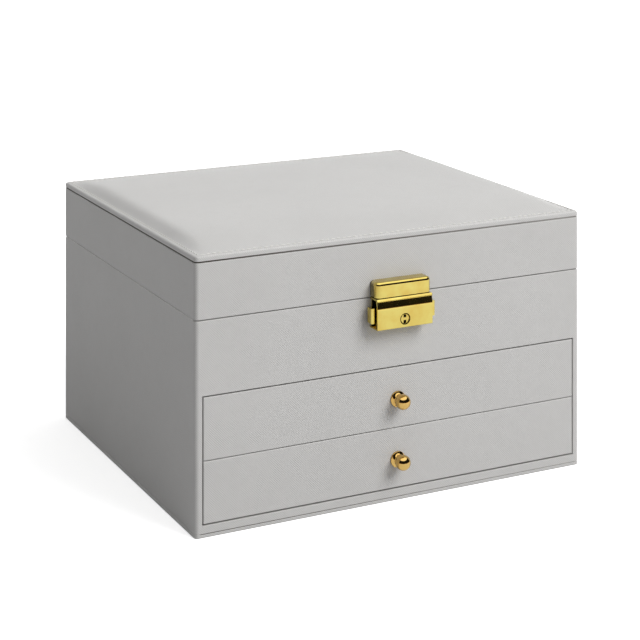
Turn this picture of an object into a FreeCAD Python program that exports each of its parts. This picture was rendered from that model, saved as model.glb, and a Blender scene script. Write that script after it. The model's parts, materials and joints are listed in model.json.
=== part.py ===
"""Jewellery chest with two drawers, a padded lid and a side-button lock.

Millimetres. The origin is the centre of the chest's underside, X is to the right, Y runs from
the front to the back and Z is up. Each piece of the chest is one STEP file in parts/.
"""

import FreeCAD, Part
import math
import os

from FreeCAD import Vector

# ---- Driving dimensions of the chest ----
WIDTH = 260.0
DEPTH = 228.0
BASE_TOP = 2.2          # top of the base board
FLOOR_TOP = 6.9         # top of the case floor, seen as the rail under the drawers
SHELF_BOTTOM = 79.7     # underside of the shelf over the drawers
BODY_TOP = 122.3        # rim of the case
LID_BOTTOM = 122.8      # rim of the lid, closed
LID_RIM_TOP = 155.0     # top of the lid's rails
TOP_EDGE_BOTTOM = 155.4  # lower edge of the padded top's border
TOP_EDGE_TOP = 158.1    # flat border of the padded top
PAD_TOP = 162.8         # crown of the padded top
CORNER_RADIUS = 2.5     # upright outside corners

# ---- Sheet and board thicknesses ----
SKIN = 0.6              # leatherette
BOARD = 3.9             # case and lid boards
SHELF = 3.0             # shelf over the drawers
RUNNER_SHELF = 2.0      # shelf between the drawers
THIN_BOARD = 2.0        # drawer bottoms and dividers
LINING = 1.0            # velvet on card
COLLAR = 2.0            # padded velvet wall of the upper compartment
SHEET_METAL = 0.8       # hinge leaves and lock back plate
SEAM_ROUND = 0.5        # rounding where the leatherette turns over an edge

# ---- Drawers ----
FRONT_GAP = 0.6         # round the drawer fronts
UPPER_FRONT = (43.3, 79.0)   # lowest and highest z of the front
LOWER_FRONT = (7.7, 42.9)
RUNNER_SHELF_TOP = 44.1
SLIDE_GAP = 0.4         # under and beside each drawer box
DRAWER_SIDE = 3.0
DRAWER_WALL_DROP = 3.2  # drawer walls end this far below the front's top edge
DRAWER_BACK_GAP = 3.0

# ---- Knobs ----
KNOB_FLANGE_RADIUS = 4.8
KNOB_FLANGE = 0.7
KNOB_FLANGE_ROUND = 0.4
KNOB_NECK_FLARE = 0.15      # half way down, wider than at the ball
KNOB_NECK_RADIUS = 2.9
KNOB_BALL_RADIUS = 4.5
KNOB_LENGTH = 11.4
KNOB_DROP = 0.9             # centre below the middle of the drawer front
KNOB_SCREW_RADIUS = 1.45
KNOB_SCREW_HEAD_RADIUS = 2.9
KNOB_SCREW_HEAD = 1.6
KNOB_SCREW_SLOT = (0.4, 0.8)    # half width and depth
SCREW_CLEARANCE = 0.05

# ---- Hinges ----
HINGE_X = 75.0
HINGE_LEAF_WIDTH = 24.0
HINGE_LEAF_HEIGHT = 13.0
HINGE_KNUCKLES = 5
KNUCKLE_GAP = 0.1
BARREL_RADIUS = 1.9
PIN_RADIUS = 1.0
PIN_CLEARANCE = 0.05
PIN_HEAD_RADIUS = 1.6
PIN_HEAD = 0.7
HINGE_AXIS_OFFSET = 2.1     # from the back of the case to the hinge axis
HINGE_AXIS_Z = (BODY_TOP + LID_BOTTOM) / 2
LEAF_SCREW_DROP = 8.5       # hinge axis to the leaf screws
LEAF_SCREW_SPACING = 15.0
WOOD_SCREW_RADIUS = 0.95
WOOD_SCREW_HEAD_RADIUS = 1.7
WOOD_SCREW_HEAD = 0.7
WOOD_SCREW_SLOT = (0.2, 0.35)   # half width and depth
WOOD_SCREW_SPARE = 0.5          # the tip stops this far short of the board's inner face
WOOD_SCREW_HOLE_SPARE = 0.1     # the hole runs on past the tip

# ---- Lock ----
LOCK_WIDTH = 37.2
LOCK_BOTTOM = 105.1
LOCK_TOP = 123.2
LOCK_DEPTH = 9.6
LOCK_WALL = 1.0
LOCK_BAND_BOTTOM = 116.7  # where the front starts to lean back into the hollow band
LOCK_BAND_TOP = 121.6     # where the hollow turns out into the lip
LOCK_BAND_LEAN = math.radians(11.0)
LOCK_BEND_RADIUS = 6.0    # bend from the flat front into the band
LOCK_LIP_SET_BACK = 0.1   # the lip stands this far behind the flat front
LOCK_LIP_HEIGHT = 1.15    # sloping face of the lip
LOCK_LIP_RUN = 0.85
LOCK_LID_GAP = 0.3        # between the lock's top edge and the lid's face
HASP_BOTTOM = 123.6
HASP_TOP = 132.8
HASP_DEPTH = 8.6
HASP_CORNER = 1.9         # rounding of the upright corners
HASP_TOP_ROUND = 1.7
HASP_ROOF = 2.4           # metal over the pocket
HASP_INSET = 0.1          # narrower than the lock by this at each end
POCKET_GAP = 0.1          # beside the tongue's bridge
PLUG_RADIUS = 3.3
PLUG_FACE_RADIUS = 2.6    # stepped in, which leaves a narrow ring round the face
PLUG_Z = 110.1
PLUG_CLEARANCE = 0.06
BUTTON_OUT = 21.6         # outer face of a side button
BUTTON_Z = (108.9, 117.9)
BUTTON_Y_OFFSET = (2.2, 7.2)  # from the case face
BUTTON_ROUND = 0.6
BUTTON_TRAVEL = 2.0

# ---- Worked out from the above ----
HALF_X = WIDTH / 2
HALF_Y = DEPTH / 2
CORE_X = HALF_X - SKIN          # outside of the boards
CORE_Y = HALF_Y - SKIN
CORE_RADIUS = CORNER_RADIUS - SKIN
INNER_X = CORE_X - BOARD        # inside of the boards
INNER_Y = CORE_Y - BOARD
SHELF_TOP = SHELF_BOTTOM + SHELF
FRONT_FACE = -HALF_Y
BACK_FACE = HALF_Y


# ---- Shape helpers ----
def block(x, y, z):
    """A box from three (low, high) pairs."""
    low = Vector(x[0], y[0], z[0])
    return Part.makeBox(x[1] - x[0], y[1] - y[0], z[1] - z[0], low)


def rounded_outline(half_x, half_y, radius, z):
    """A closed rounded rectangle centred on the Z axis."""
    corners = ((1, 1, 0), (-1, 1, 90), (-1, -1, 180), (1, -1, 270))
    edges = []
    ends = []
    for sign_x, sign_y, start in corners:
        centre = Vector(sign_x * (half_x - radius), sign_y * (half_y - radius), z)
        arc = Part.makeCircle(radius, centre, Vector(0, 0, 1), start, start + 90)
        edges.append(arc)
        ends.append((arc.valueAt(arc.FirstParameter), arc.valueAt(arc.LastParameter)))
    for number, (_, end) in enumerate(ends):
        next_start = ends[(number + 1) % len(ends)][0]
        edges.append(Part.makeLine(end, next_start))
    return Part.Wire(Part.__sortEdges__(edges))


def rounded_block(half_x, half_y, radius, z):
    """An upright prism with rounded corners between two heights."""
    outline = Part.Face(rounded_outline(half_x, half_y, radius, z[0]))
    return outline.extrude(Vector(0, 0, z[1] - z[0]))


def crown(low_half, low_radius, high_half, high_radius, z):
    """A tapered pillow between two rounded rectangles."""
    low = rounded_outline(low_half[0], low_half[1], low_radius, z[0])
    high = rounded_outline(high_half[0], high_half[1], high_radius, z[1])
    return Part.makeLoft([low, high], True, True)


def rod(start, axis, radius, length):
    """A cylinder from a start point along an axis."""
    return Part.makeCylinder(radius, length, Vector(*start), Vector(*axis))


def side_profile(runs, half_width):
    """A closed (y, z) outline, drawn out along X to both sides of the middle.

    Each run has two points for a line, or three for an arc through the middle one.
    """
    edges = []
    for run in runs:
        places = [Vector(-half_width, y, z) for y, z in run]
        edges.append(Part.Arc(*places).toShape() if len(run) == 3 else Part.makeLine(*places))
    outline = Part.Face(Part.Wire(edges))
    return outline.extrude(Vector(2 * half_width, 0, 0))


def rounded_edges(shape, radius, chosen):
    """Fillet the edges whose middle point is chosen."""
    edges = [edge for edge in shape.Edges if chosen(edge.CenterOfMass)]
    return shape.makeFillet(radius, edges)


def at_height(*heights):
    """A test for points that lie at one of the heights."""
    return lambda point: any(abs(point.z - height) < 1e-6 for height in heights)


def both_sides(shape):
    """The shape and its mirror image across the middle plane X = 0."""
    return [shape, shape.mirror(Vector(0, 0, 0), Vector(1, 0, 0))]


def fused(first, *others):
    return first.multiFuse(list(others)).removeSplitter()


def group(shapes):
    """Separate solids that share one node."""
    return Part.makeCompound(shapes)


# ---- Screws, and the holes that they sit in ----
WOOD_SCREW_LENGTH = BOARD + SKIN + SHEET_METAL - WOOD_SCREW_SPARE


def wood_screw(x, z, y_head, outward):
    """A domed screw whose head sits on y_head and whose shank runs inward.

    outward is +1 when the head faces the back and -1 when it faces the front.
    """
    shank = rod((x, y_head, z), (0, -outward, 0), WOOD_SCREW_RADIUS, WOOD_SCREW_LENGTH)
    head = rod((x, y_head, z), (0, outward, 0), WOOD_SCREW_HEAD_RADIUS, WOOD_SCREW_HEAD)
    rim_y = y_head + outward * WOOD_SCREW_HEAD
    head = rounded_edges(head, WOOD_SCREW_HEAD * 0.8, lambda point: abs(point.y - rim_y) < 1e-6)
    half, depth = WOOD_SCREW_SLOT
    slot = block((x - half, x + half), sorted((rim_y - outward * depth, rim_y + outward)),
                 (z - WOOD_SCREW_HEAD_RADIUS, z + WOOD_SCREW_HEAD_RADIUS))
    return fused(shank, head).cut(slot)


def wood_screw_hole(x, z, y_head, outward):
    length = WOOD_SCREW_LENGTH + WOOD_SCREW_HOLE_SPARE
    return rod((x, y_head, z), (0, -outward, 0), WOOD_SCREW_RADIUS + SCREW_CLEARANCE, length)


HINGE_SCREW_XS = [
    side * HINGE_X + shift * LEAF_SCREW_SPACING / 2 for side in (-1, 1) for shift in (-1, 1)
]
LEAF_FACE = BACK_FACE + SHEET_METAL
LOWER_SCREW_Z = HINGE_AXIS_Z - LEAF_SCREW_DROP
UPPER_SCREW_Z = HINGE_AXIS_Z + LEAF_SCREW_DROP
LOCK_SCREW_X = 12.0
LOCK_SCREW_Z = 119.0
PLATE_FACE = FRONT_FACE - SHEET_METAL


def hinge_screw_holes(z):
    return [wood_screw_hole(x, z, LEAF_FACE, 1) for x in HINGE_SCREW_XS]


def lock_screw_holes():
    return [wood_screw_hole(x, LOCK_SCREW_Z, PLATE_FACE, -1) for x in (-LOCK_SCREW_X, LOCK_SCREW_X)]


# ---- Case ----
def base_board():
    board = rounded_block(HALF_X, HALF_Y, CORNER_RADIUS, (0, BASE_TOP))
    return rounded_edges(board, SEAM_ROUND, at_height(0, BASE_TOP))


def case_floor():
    return rounded_block(CORE_X, CORE_Y, CORE_RADIUS, (BASE_TOP, FLOOR_TOP))


def core_slice(x, y, z):
    """The piece of the board layer inside a box, with its outside corners rounded."""
    return rounded_block(CORE_X, CORE_Y, CORE_RADIUS, z).common(block(x, y, z))


def case_side_panel(side):
    x = sorted((side * INNER_X, side * CORE_X))
    return core_slice(x, (-CORE_Y, CORE_Y), (FLOOR_TOP, BODY_TOP))


def case_back_panel():
    panel = block((-INNER_X, INNER_X), (INNER_Y, CORE_Y), (FLOOR_TOP, BODY_TOP))
    return panel.cut(hinge_screw_holes(LOWER_SCREW_Z))


def case_front_fascia():
    panel = block((-INNER_X, INNER_X), (-CORE_Y, -INNER_Y), (SHELF_BOTTOM, BODY_TOP))
    return panel.cut(lock_screw_holes())


def tray_shelf():
    return block((-INNER_X, INNER_X), (-INNER_Y, INNER_Y), (SHELF_BOTTOM, SHELF_TOP))


def runner_shelf():
    z = (RUNNER_SHELF_TOP - RUNNER_SHELF, RUNNER_SHELF_TOP)
    return block((-INNER_X, INNER_X), (-INNER_Y + SLIDE_GAP, INNER_Y), z)


def case_cover():
    """Leatherette round the case, with the opening for the two drawers."""
    skin = rounded_block(HALF_X, HALF_Y, CORNER_RADIUS, (BASE_TOP, BODY_TOP))
    skin = rounded_edges(skin, SEAM_ROUND, at_height(BASE_TOP, BODY_TOP))
    skin = skin.cut(rounded_block(CORE_X, CORE_Y, CORE_RADIUS, (BASE_TOP - 1, BODY_TOP + 1)))
    opening = block((-INNER_X, INNER_X), (FRONT_FACE - 1, -CORE_Y + 1), (FLOOR_TOP, SHELF_BOTTOM))
    skin = skin.cut(opening)
    skin = rounded_edges(
        skin, SEAM_ROUND * 0.8,
        lambda point: abs(point.y - FRONT_FACE) < 1e-6 and BASE_TOP + 1 < point.z < SHELF_BOTTOM + 1)
    return skin.cut(hinge_screw_holes(LOWER_SCREW_Z) + lock_screw_holes())


# ---- Upper compartment ----
COLLAR_GAP = 0.3
COLLAR_RISE = 4.0
COLLAR_X = INNER_X - COLLAR_GAP
COLLAR_Y = INNER_Y - COLLAR_GAP
COLLAR_TOP = BODY_TOP + COLLAR_RISE
TRAY_FLOOR = SHELF_TOP + LINING
TRAY_X = COLLAR_X - COLLAR
TRAY_Y = COLLAR_Y - COLLAR
RING_BAY_X = -38.0          # the ring bay is on the left of this wall
TRAY_WALL_TOP = 110.5
RING_ROLLS = 9
ROLL_GAP = 1.0
ROLL_HEIGHT = 21.0


def upper_lining():
    """Velvet floor and padded walls, which stand above the case's rim as a collar for the lid."""
    outside = rounded_block(COLLAR_X, COLLAR_Y, COLLAR, (SHELF_TOP, COLLAR_TOP))
    outside = rounded_edges(outside, COLLAR * 0.4, at_height(COLLAR_TOP))
    return outside.cut(rounded_block(TRAY_X, TRAY_Y, LINING, (TRAY_FLOOR, COLLAR_TOP + 1)))


def tray_cross_walls():
    """Heights along Y of the walls between the three rows of compartments."""
    row = 2 * TRAY_Y / 3
    return [-TRAY_Y + row, -TRAY_Y + 2 * row]


def tray_dividers():
    """Velvet-covered walls: one beside the ring bay, one long wall, and four short cross walls."""
    z = (TRAY_FLOOR, TRAY_WALL_TOP)
    half = THIN_BOARD / 2
    middle = (RING_BAY_X + TRAY_X) / 2
    walls = [block((x - half, x + half), (-TRAY_Y, TRAY_Y), z) for x in (RING_BAY_X, middle)]
    for y in tray_cross_walls():
        walls.append(block((RING_BAY_X + half, middle - half), (y - half, y + half), z))
        walls.append(block((middle + half, TRAY_X), (y - half, y + half), z))
    return group(walls)


def ring_rolls():
    """Soft rolls side by side that grip rings between them."""
    pitch = 2 * TRAY_Y / RING_ROLLS
    half = (pitch - ROLL_GAP) / 2
    x = (-TRAY_X + ROLL_GAP, RING_BAY_X - THIN_BOARD / 2 - ROLL_GAP)
    z = (TRAY_FLOOR, TRAY_FLOOR + ROLL_HEIGHT)
    rolls = []
    for number in range(RING_ROLLS):
        y = -TRAY_Y + (number + 0.5) * pitch
        roll = block(x, (y - half, y + half), z)
        rolls.append(rounded_edges(
            roll, half * 0.9,
            lambda point, y=y: abs(point.z - z[1]) < 1e-6 and abs(abs(point.y - y) - half) < 1e-6))
    return group(rolls)


# ---- Lid ----
MIRROR_THICK = 2.0
MIRROR_BORDER = 18.0
LID_PANEL_BOTTOM = LID_RIM_TOP - 1.5
LID_LINING_BOTTOM = COLLAR_TOP + 1.0
HASP_SCREW_X = 12.5
HASP_SCREW_Z = 128.2
HASP_SCREW_REACH = 4.5      # into the hasp
HASP_HEAD_BORE = 1.2        # heads sunk into the inside of the front rail


def lid_side_rail(side):
    x = sorted((side * INNER_X, side * CORE_X))
    return core_slice(x, (-CORE_Y, CORE_Y), (LID_BOTTOM, LID_RIM_TOP))


def lid_back_rail():
    rail = block((-INNER_X, INNER_X), (INNER_Y, CORE_Y), (LID_BOTTOM, LID_RIM_TOP))
    return rail.cut(hinge_screw_holes(UPPER_SCREW_Z))


def hasp_screw(x, grow=0.0):
    """A screw from inside the lid's front rail into the hasp, larger by grow for its hole."""
    head_y = -INNER_Y - HASP_HEAD_BORE
    reach = abs(FRONT_FACE - head_y) + HASP_SCREW_REACH + grow
    shank = rod((x, head_y, HASP_SCREW_Z), (0, -1, 0), WOOD_SCREW_RADIUS + grow, reach)
    head = rod((x, head_y, HASP_SCREW_Z), (0, 1, 0), WOOD_SCREW_HEAD_RADIUS + grow, HASP_HEAD_BORE)
    return fused(shank, head)


def hasp_screws():
    return group([hasp_screw(x) for x in (-HASP_SCREW_X, HASP_SCREW_X)])


def hasp_screw_holes():
    return [hasp_screw(x, SCREW_CLEARANCE) for x in (-HASP_SCREW_X, HASP_SCREW_X)]


def lid_front_rail():
    rail = block((-INNER_X, INNER_X), (-CORE_Y, -INNER_Y), (LID_BOTTOM, LID_RIM_TOP))
    return rail.cut(hasp_screw_holes())


def lid_cover():
    skin = rounded_block(HALF_X, HALF_Y, CORNER_RADIUS, (LID_BOTTOM, LID_RIM_TOP))
    skin = rounded_edges(skin, SEAM_ROUND, at_height(LID_BOTTOM, LID_RIM_TOP))
    skin = skin.cut(rounded_block(CORE_X, CORE_Y, CORE_RADIUS, (LID_BOTTOM - 1, LID_RIM_TOP + 1)))
    return skin.cut(hinge_screw_holes(UPPER_SCREW_Z) + hasp_screw_holes())


PAD_BORDER = 4.2            # flat border outside the stitch line
PAD_SLOPE = 19.0            # width of the padded top's sloping shoulder
PAD_CORNER = 4.0
CROWN_CORNER = 12.0
BOARD_TOP = TOP_EDGE_TOP - SKIN
FOAM_GAP = 0.3


def pad_shape(inset, z):
    """The crowned part of the top, drawn in by an inset."""
    low = (HALF_X - PAD_BORDER - inset, HALF_Y - PAD_BORDER - inset)
    high = (low[0] - PAD_SLOPE, low[1] - PAD_SLOPE)
    return crown(low, PAD_CORNER, high, CROWN_CORNER, z)


def top_board():
    return rounded_block(CORE_X, CORE_Y, CORE_RADIUS, (LID_RIM_TOP, BOARD_TOP))


def top_foam():
    return pad_shape(SKIN + FOAM_GAP, (BOARD_TOP, PAD_TOP - SKIN - FOAM_GAP))


def top_cover():
    """Leatherette over the foam, turned down over the top board's edge."""
    border = rounded_block(HALF_X, HALF_Y, CORNER_RADIUS, (TOP_EDGE_BOTTOM, TOP_EDGE_TOP))
    border = rounded_edges(border, SEAM_ROUND * 2, at_height(TOP_EDGE_TOP))
    outside = fused(border, pad_shape(0, (TOP_EDGE_TOP, PAD_TOP)))
    hollow = rounded_block(CORE_X, CORE_Y, CORE_RADIUS, (TOP_EDGE_BOTTOM - 1, BOARD_TOP))
    foam_space = pad_shape(SKIN, (BOARD_TOP, PAD_TOP - SKIN))
    return outside.cut([hollow, foam_space])


def lid_lining():
    """Velvet panel under the top board, with velvet walls down inside the rails."""
    outside = block((-INNER_X, INNER_X), (-INNER_Y, INNER_Y), (LID_LINING_BOTTOM, LID_RIM_TOP))
    inside = block((-INNER_X + LINING, INNER_X - LINING), (-INNER_Y + LINING, INNER_Y - LINING),
                   (LID_LINING_BOTTOM - 1, LID_PANEL_BOTTOM))
    return outside.cut(inside)


MIRROR_X = INNER_X - LINING - MIRROR_BORDER
MIRROR_Y = INNER_Y - LINING - MIRROR_BORDER
MIRROR_GAP = 0.1


def mirror():
    z = (LID_PANEL_BOTTOM - MIRROR_THICK, LID_PANEL_BOTTOM)
    return block((-MIRROR_X, MIRROR_X), (-MIRROR_Y, MIRROR_Y), z)


def mirror_frame():
    """Padded velvet border round the mirror, lapping a little over its edge."""
    lap = 2.0
    outer_x = INNER_X - LINING - MIRROR_GAP
    outer_y = INNER_Y - LINING - MIRROR_GAP
    z = (LID_PANEL_BOTTOM - MIRROR_THICK - 1.6, LID_PANEL_BOTTOM)
    frame = block((-outer_x, outer_x), (-outer_y, outer_y), z)
    seat = block((-MIRROR_X - MIRROR_GAP, MIRROR_X + MIRROR_GAP),
                 (-MIRROR_Y - MIRROR_GAP, MIRROR_Y + MIRROR_GAP),
                 (LID_PANEL_BOTTOM - MIRROR_THICK - MIRROR_GAP, LID_PANEL_BOTTOM + 1))
    window = block((-MIRROR_X + lap, MIRROR_X - lap), (-MIRROR_Y + lap, MIRROR_Y - lap),
                   (z[0] - 1, z[1]))
    return frame.cut([seat, window])


# ---- Hinges ----
HINGE_Y = BACK_FACE + HINGE_AXIS_OFFSET
LEAF_CUTBACK = 1.75         # leaf ends this far from the axis beside the other leaf's knuckles
NECK_START = 0.3            # from the axis; the neck joins a barrel piece to its leaf
NECK_LAP = 0.5
KNUCKLE_STEP = HINGE_LEAF_WIDTH / HINGE_KNUCKLES
STOP_ARM_HALF = 2.0
STOP_ARM_REACH = 4.0        # from the axis outwards
STOP_ARM_THICK = 1.3
STOP_ARM_LAP = 0.4          # into the barrel
STOP_ARM_RISE = 0.5         # above the axis, where the lid's leaf lands at 100 degrees


def knuckle_span(centre, number):
    left = centre - HINGE_LEAF_WIDTH / 2 + number * KNUCKLE_STEP
    return (left + KNUCKLE_GAP / 2, left + KNUCKLE_STEP - KNUCKLE_GAP / 2)


def hinge_leaf(centre, up, knuckles):
    """One leaf: a plate on the back of the chest with its share of the knuckles.

    up is +1 for the lid's leaf and -1 for the case's.
    """
    plate_z = sorted((HINGE_AXIS_Z + up * LEAF_CUTBACK, HINGE_AXIS_Z + up * HINGE_LEAF_HEIGHT))
    plate_x = (centre - HINGE_LEAF_WIDTH / 2, centre + HINGE_LEAF_WIDTH / 2)
    pieces = [block(plate_x, (BACK_FACE, LEAF_FACE), plate_z)]
    for number in knuckles:
        span = knuckle_span(centre, number)
        neck_z = sorted((HINGE_AXIS_Z + up * NECK_START, HINGE_AXIS_Z + up * (LEAF_CUTBACK + NECK_LAP)))
        pieces.append(block(span, (BACK_FACE, LEAF_FACE), neck_z))
        start = (span[0], HINGE_Y, HINGE_AXIS_Z)
        pieces.append(rod(start, (1, 0, 0), BARREL_RADIUS, span[1] - span[0]))
    if up < 0:
        pieces += stop_arm(centre)
    leaf = fused(*pieces)
    bore_start = (plate_x[0] - 1, HINGE_Y, HINGE_AXIS_Z)
    bore = rod(bore_start, (1, 0, 0), PIN_RADIUS + PIN_CLEARANCE, HINGE_LEAF_WIDTH + 2)
    screw_z = HINGE_AXIS_Z + up * LEAF_SCREW_DROP
    return leaf.cut([bore] + hinge_screw_holes(screw_z))


def stop_arm(centre):
    """A hook under the barrel that stops the lid's leaf when the lid is open."""
    x = (centre - STOP_ARM_HALF, centre + STOP_ARM_HALF)
    low = HINGE_AXIS_Z - BARREL_RADIUS - STOP_ARM_THICK
    top = HINGE_AXIS_Z - BARREL_RADIUS + STOP_ARM_LAP
    end = HINGE_Y + STOP_ARM_REACH
    shelf = block(x, (BACK_FACE, end), (low, top))
    hook = block(x, (end - STOP_ARM_THICK, end), (low, HINGE_AXIS_Z + STOP_ARM_RISE))
    return [shelf, hook]


def hinge_leaves(up):
    first = 0 if up < 0 else 1
    knuckles = range(first, HINGE_KNUCKLES, 2)
    return group([hinge_leaf(side * HINGE_X, up, knuckles) for side in (-1, 1)])


def hinge_pins():
    """Pins with flat heads at both ends of each barrel."""
    pins = []
    for side in (-1, 1):
        left = side * HINGE_X - HINGE_LEAF_WIDTH / 2
        right = left + HINGE_LEAF_WIDTH
        shank = rod((left, HINGE_Y, HINGE_AXIS_Z), (1, 0, 0), PIN_RADIUS, HINGE_LEAF_WIDTH)
        heads = [rod((start, HINGE_Y, HINGE_AXIS_Z), (1, 0, 0), PIN_HEAD_RADIUS, PIN_HEAD)
                 for start in (left - PIN_HEAD, right)]
        pins.append(fused(shank, *heads))
    return group(pins)


def hinge_screws(z):
    return group([wood_screw(x, z, LEAF_FACE, 1) for x in HINGE_SCREW_XS])


# ---- Lock ----
LOCK_FACE = FRONT_FACE - LOCK_DEPTH
LOCK_HALF = LOCK_WIDTH / 2
TONGUE_Y = (FRONT_FACE - 5.4, FRONT_FACE - 4.2)
TONGUE_X = (6.0, 7.2)       # a prong, on either side
BRIDGE_LAP = 1.0            # the tongue's bridge reaches this far past the prongs
BRIDGE_RISE = 0.6           # from the hasp's lower edge to the bridge
HOOK_IN = 4.8               # inner face of a prong's hook
PRONG_BOTTOM = 113.5
HOOK_TOP = 114.9
NOSE_X = (3.4, 4.6)         # the latch nose stands just inside the hook
CAM_HALF = 3.9
CAM_WIDTH_HALF = 1.2
CAM_END_ROUND = 1.1
CAM_Y = (FRONT_FACE - 2.7, FRONT_FACE - 1.7)
CAM_STOP_HALF = 1.1         # half height of the block that the cam would bear on
SPRING_Z = 107.4
SPRING_Y = FRONT_FACE - 3.3
SPRING_RADIUS = 1.0
SPRING_WIRE = 0.18
SPRING_TURNS = 6
SPRING_END_GAP = 0.02
LUG_DEPTH = 4.6             # lugs stand this far out from the case face
FOOT_DEPTH = 4.8
LUG_RISE = 1.2              # above the middle of the springs
ARM_GAP = 0.2               # between the hook and the latch arm
ARM_HEIGHT = 1.8
SMALL_GAP = 0.3
LOCK_EDGE_ROUND = 0.5       # lower front edge
BORE_ROUND = 0.25
PLUG_SET_BACK = 0.3         # face of the plug behind the flat front
PLUG_STEP = 3.0
PLUG_DISH = (0.35, 0.25)    # rim width and depth
KEY_HOLE_HALF = (0.9, 0.85)
KEY_HOLE_Z = (-1.5, 1.5)    # from the middle of the plug
KEY_HOLE_DEPTH = 3.5
SEAT_X = (4.4, 5.2)         # lug that the spring pushes against
FOOT_X = (9.5, 15.4)        # foot of the button, pushed by the spring
STOP_X = (15.5, 16.3)       # lug that stops the foot


def plug_bore(y):
    """The bore for the key plug between two depths."""
    return rod((0, y[0], PLUG_Z), (0, 1, 0), PLUG_RADIUS + PLUG_CLEARANCE, y[1] - y[0])


def bend_place(angle):
    """A (y, z) place on the bend from the flat front into the hollow band."""
    return (LOCK_FACE + LOCK_BEND_RADIUS * (1 - math.cos(angle)),
            LOCK_BAND_BOTTOM + LOCK_BEND_RADIUS * math.sin(angle))


def band_back():
    """How deep in Y the band lies where it meets the lip."""
    y, z = bend_place(LOCK_BAND_LEAN)
    return y + (LOCK_BAND_TOP - z) * math.tan(LOCK_BAND_LEAN)


def lock_outside():
    """The lock's side view: flat front, a hollow band leaning back above it and a sloping lip."""
    lip_y = LOCK_FACE + LOCK_LIP_SET_BACK
    lip_z = LOCK_TOP - LOCK_LIP_HEIGHT
    lip_end = (lip_y + LOCK_LIP_RUN, LOCK_TOP)
    top_back = FRONT_FACE - LOCK_LID_GAP
    corners = [lip_end, (top_back, LOCK_TOP), (top_back, BODY_TOP), (FRONT_FACE, BODY_TOP),
               (FRONT_FACE, LOCK_BOTTOM), (LOCK_FACE, LOCK_BOTTOM), bend_place(0)]
    runs = [list(pair) for pair in zip(corners, corners[1:])]
    runs.append([bend_place(0), bend_place(LOCK_BAND_LEAN / 2), bend_place(LOCK_BAND_LEAN)])
    runs.append([bend_place(LOCK_BAND_LEAN), (band_back(), LOCK_BAND_TOP)])
    runs.append([(band_back(), LOCK_BAND_TOP), (lip_y, lip_z)])
    runs.append([(lip_y, lip_z), lip_end])
    return side_profile(runs, LOCK_HALF)


def lock_inside():
    """The space inside the lock's shell, open at the back and at both sides."""
    face = LOCK_FACE + LOCK_WALL
    top = LOCK_TOP - LOCK_WALL
    corners = [(FRONT_FACE + 1, LOCK_BOTTOM + LOCK_WALL), (face, LOCK_BOTTOM + LOCK_WALL),
               (face, LOCK_BAND_BOTTOM), (band_back() + LOCK_WALL, LOCK_BAND_TOP),
               (band_back() + LOCK_WALL, top), (FRONT_FACE + 1, top)]
    runs = [list(pair) for pair in zip(corners, corners[1:] + corners[:1])]
    return side_profile(runs, LOCK_HALF + 1)


def lock_body():
    """Formed shell, open at the sides, where the buttons stand, and at the back."""
    outside = rounded_edges(
        lock_outside(), LOCK_EDGE_ROUND,
        lambda point: abs(point.z - LOCK_BOTTOM) < 1e-6 and abs(point.y - LOCK_FACE) < 1e-6)
    slot_x = TONGUE_X[1] + 2 * SMALL_GAP
    slot = block((-slot_x, slot_x), (TONGUE_Y[0] - 2 * SMALL_GAP, TONGUE_Y[1] + 2 * SMALL_GAP),
                 (LOCK_TOP - 2 * LOCK_WALL, LOCK_TOP + 1))
    bore = plug_bore((LOCK_FACE - 1, LOCK_FACE + LOCK_WALL + 1))
    shell = outside.cut([lock_inside(), slot, bore])
    bore_middle = Vector(0, LOCK_FACE, PLUG_Z)
    return rounded_edges(shell, BORE_ROUND, lambda point: (point - bore_middle).Length < 1e-3)


def lock_back_plate():
    """Plate on the case with bent-up lugs for the springs and the buttons' stops."""
    z = (LOCK_BOTTOM + LOCK_WALL, LOCK_TOP - LOCK_WALL)
    plate = block((-LOCK_HALF + 1, LOCK_HALF - 1), (PLATE_FACE, FRONT_FACE), z)
    lug_y = (FRONT_FACE - LUG_DEPTH, FRONT_FACE)
    lug_z = (z[0], SPRING_Z + LUG_RISE)
    lugs = []
    for span in (SEAT_X, STOP_X):
        lugs += both_sides(block(span, lug_y, lug_z))
    return fused(plate, *lugs).cut(lock_screw_holes())


def lock_button():
    """The right-hand push button, with its foot, its key-cam stop and its latch nose."""
    y = (FRONT_FACE - BUTTON_Y_OFFSET[1], FRONT_FACE - BUTTON_Y_OFFSET[0])
    cap = block((FOOT_X[0], BUTTON_OUT), y, BUTTON_Z)
    cap = rounded_edges(cap, BUTTON_ROUND, lambda point: abs(point.x - BUTTON_OUT) < 1e-6)
    foot_y = (FRONT_FACE - FOOT_DEPTH, y[1])
    foot = block(FOOT_X, foot_y, (LOCK_BOTTOM + LOCK_WALL + SMALL_GAP, BUTTON_Z[0]))
    pressed_gap = CAM_HALF + ARM_GAP + BUTTON_TRAVEL
    cam_stop = block((pressed_gap, FOOT_X[0]), (CAM_Y[0] - ARM_GAP, y[1]),
                     (PLUG_Z - CAM_STOP_HALF, PLUG_Z + CAM_STOP_HALF))
    arm_z = (HOOK_TOP + ARM_GAP, HOOK_TOP + ARM_GAP + ARM_HEIGHT)
    arm_front = TONGUE_Y[1] + SMALL_GAP
    arm = block((NOSE_X[0], FOOT_X[0]), (arm_front, y[1]), arm_z)
    nose = block(NOSE_X, (TONGUE_Y[0], arm_front), arm_z)
    return fused(cap, foot, cam_stop, arm, nose)


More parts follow.
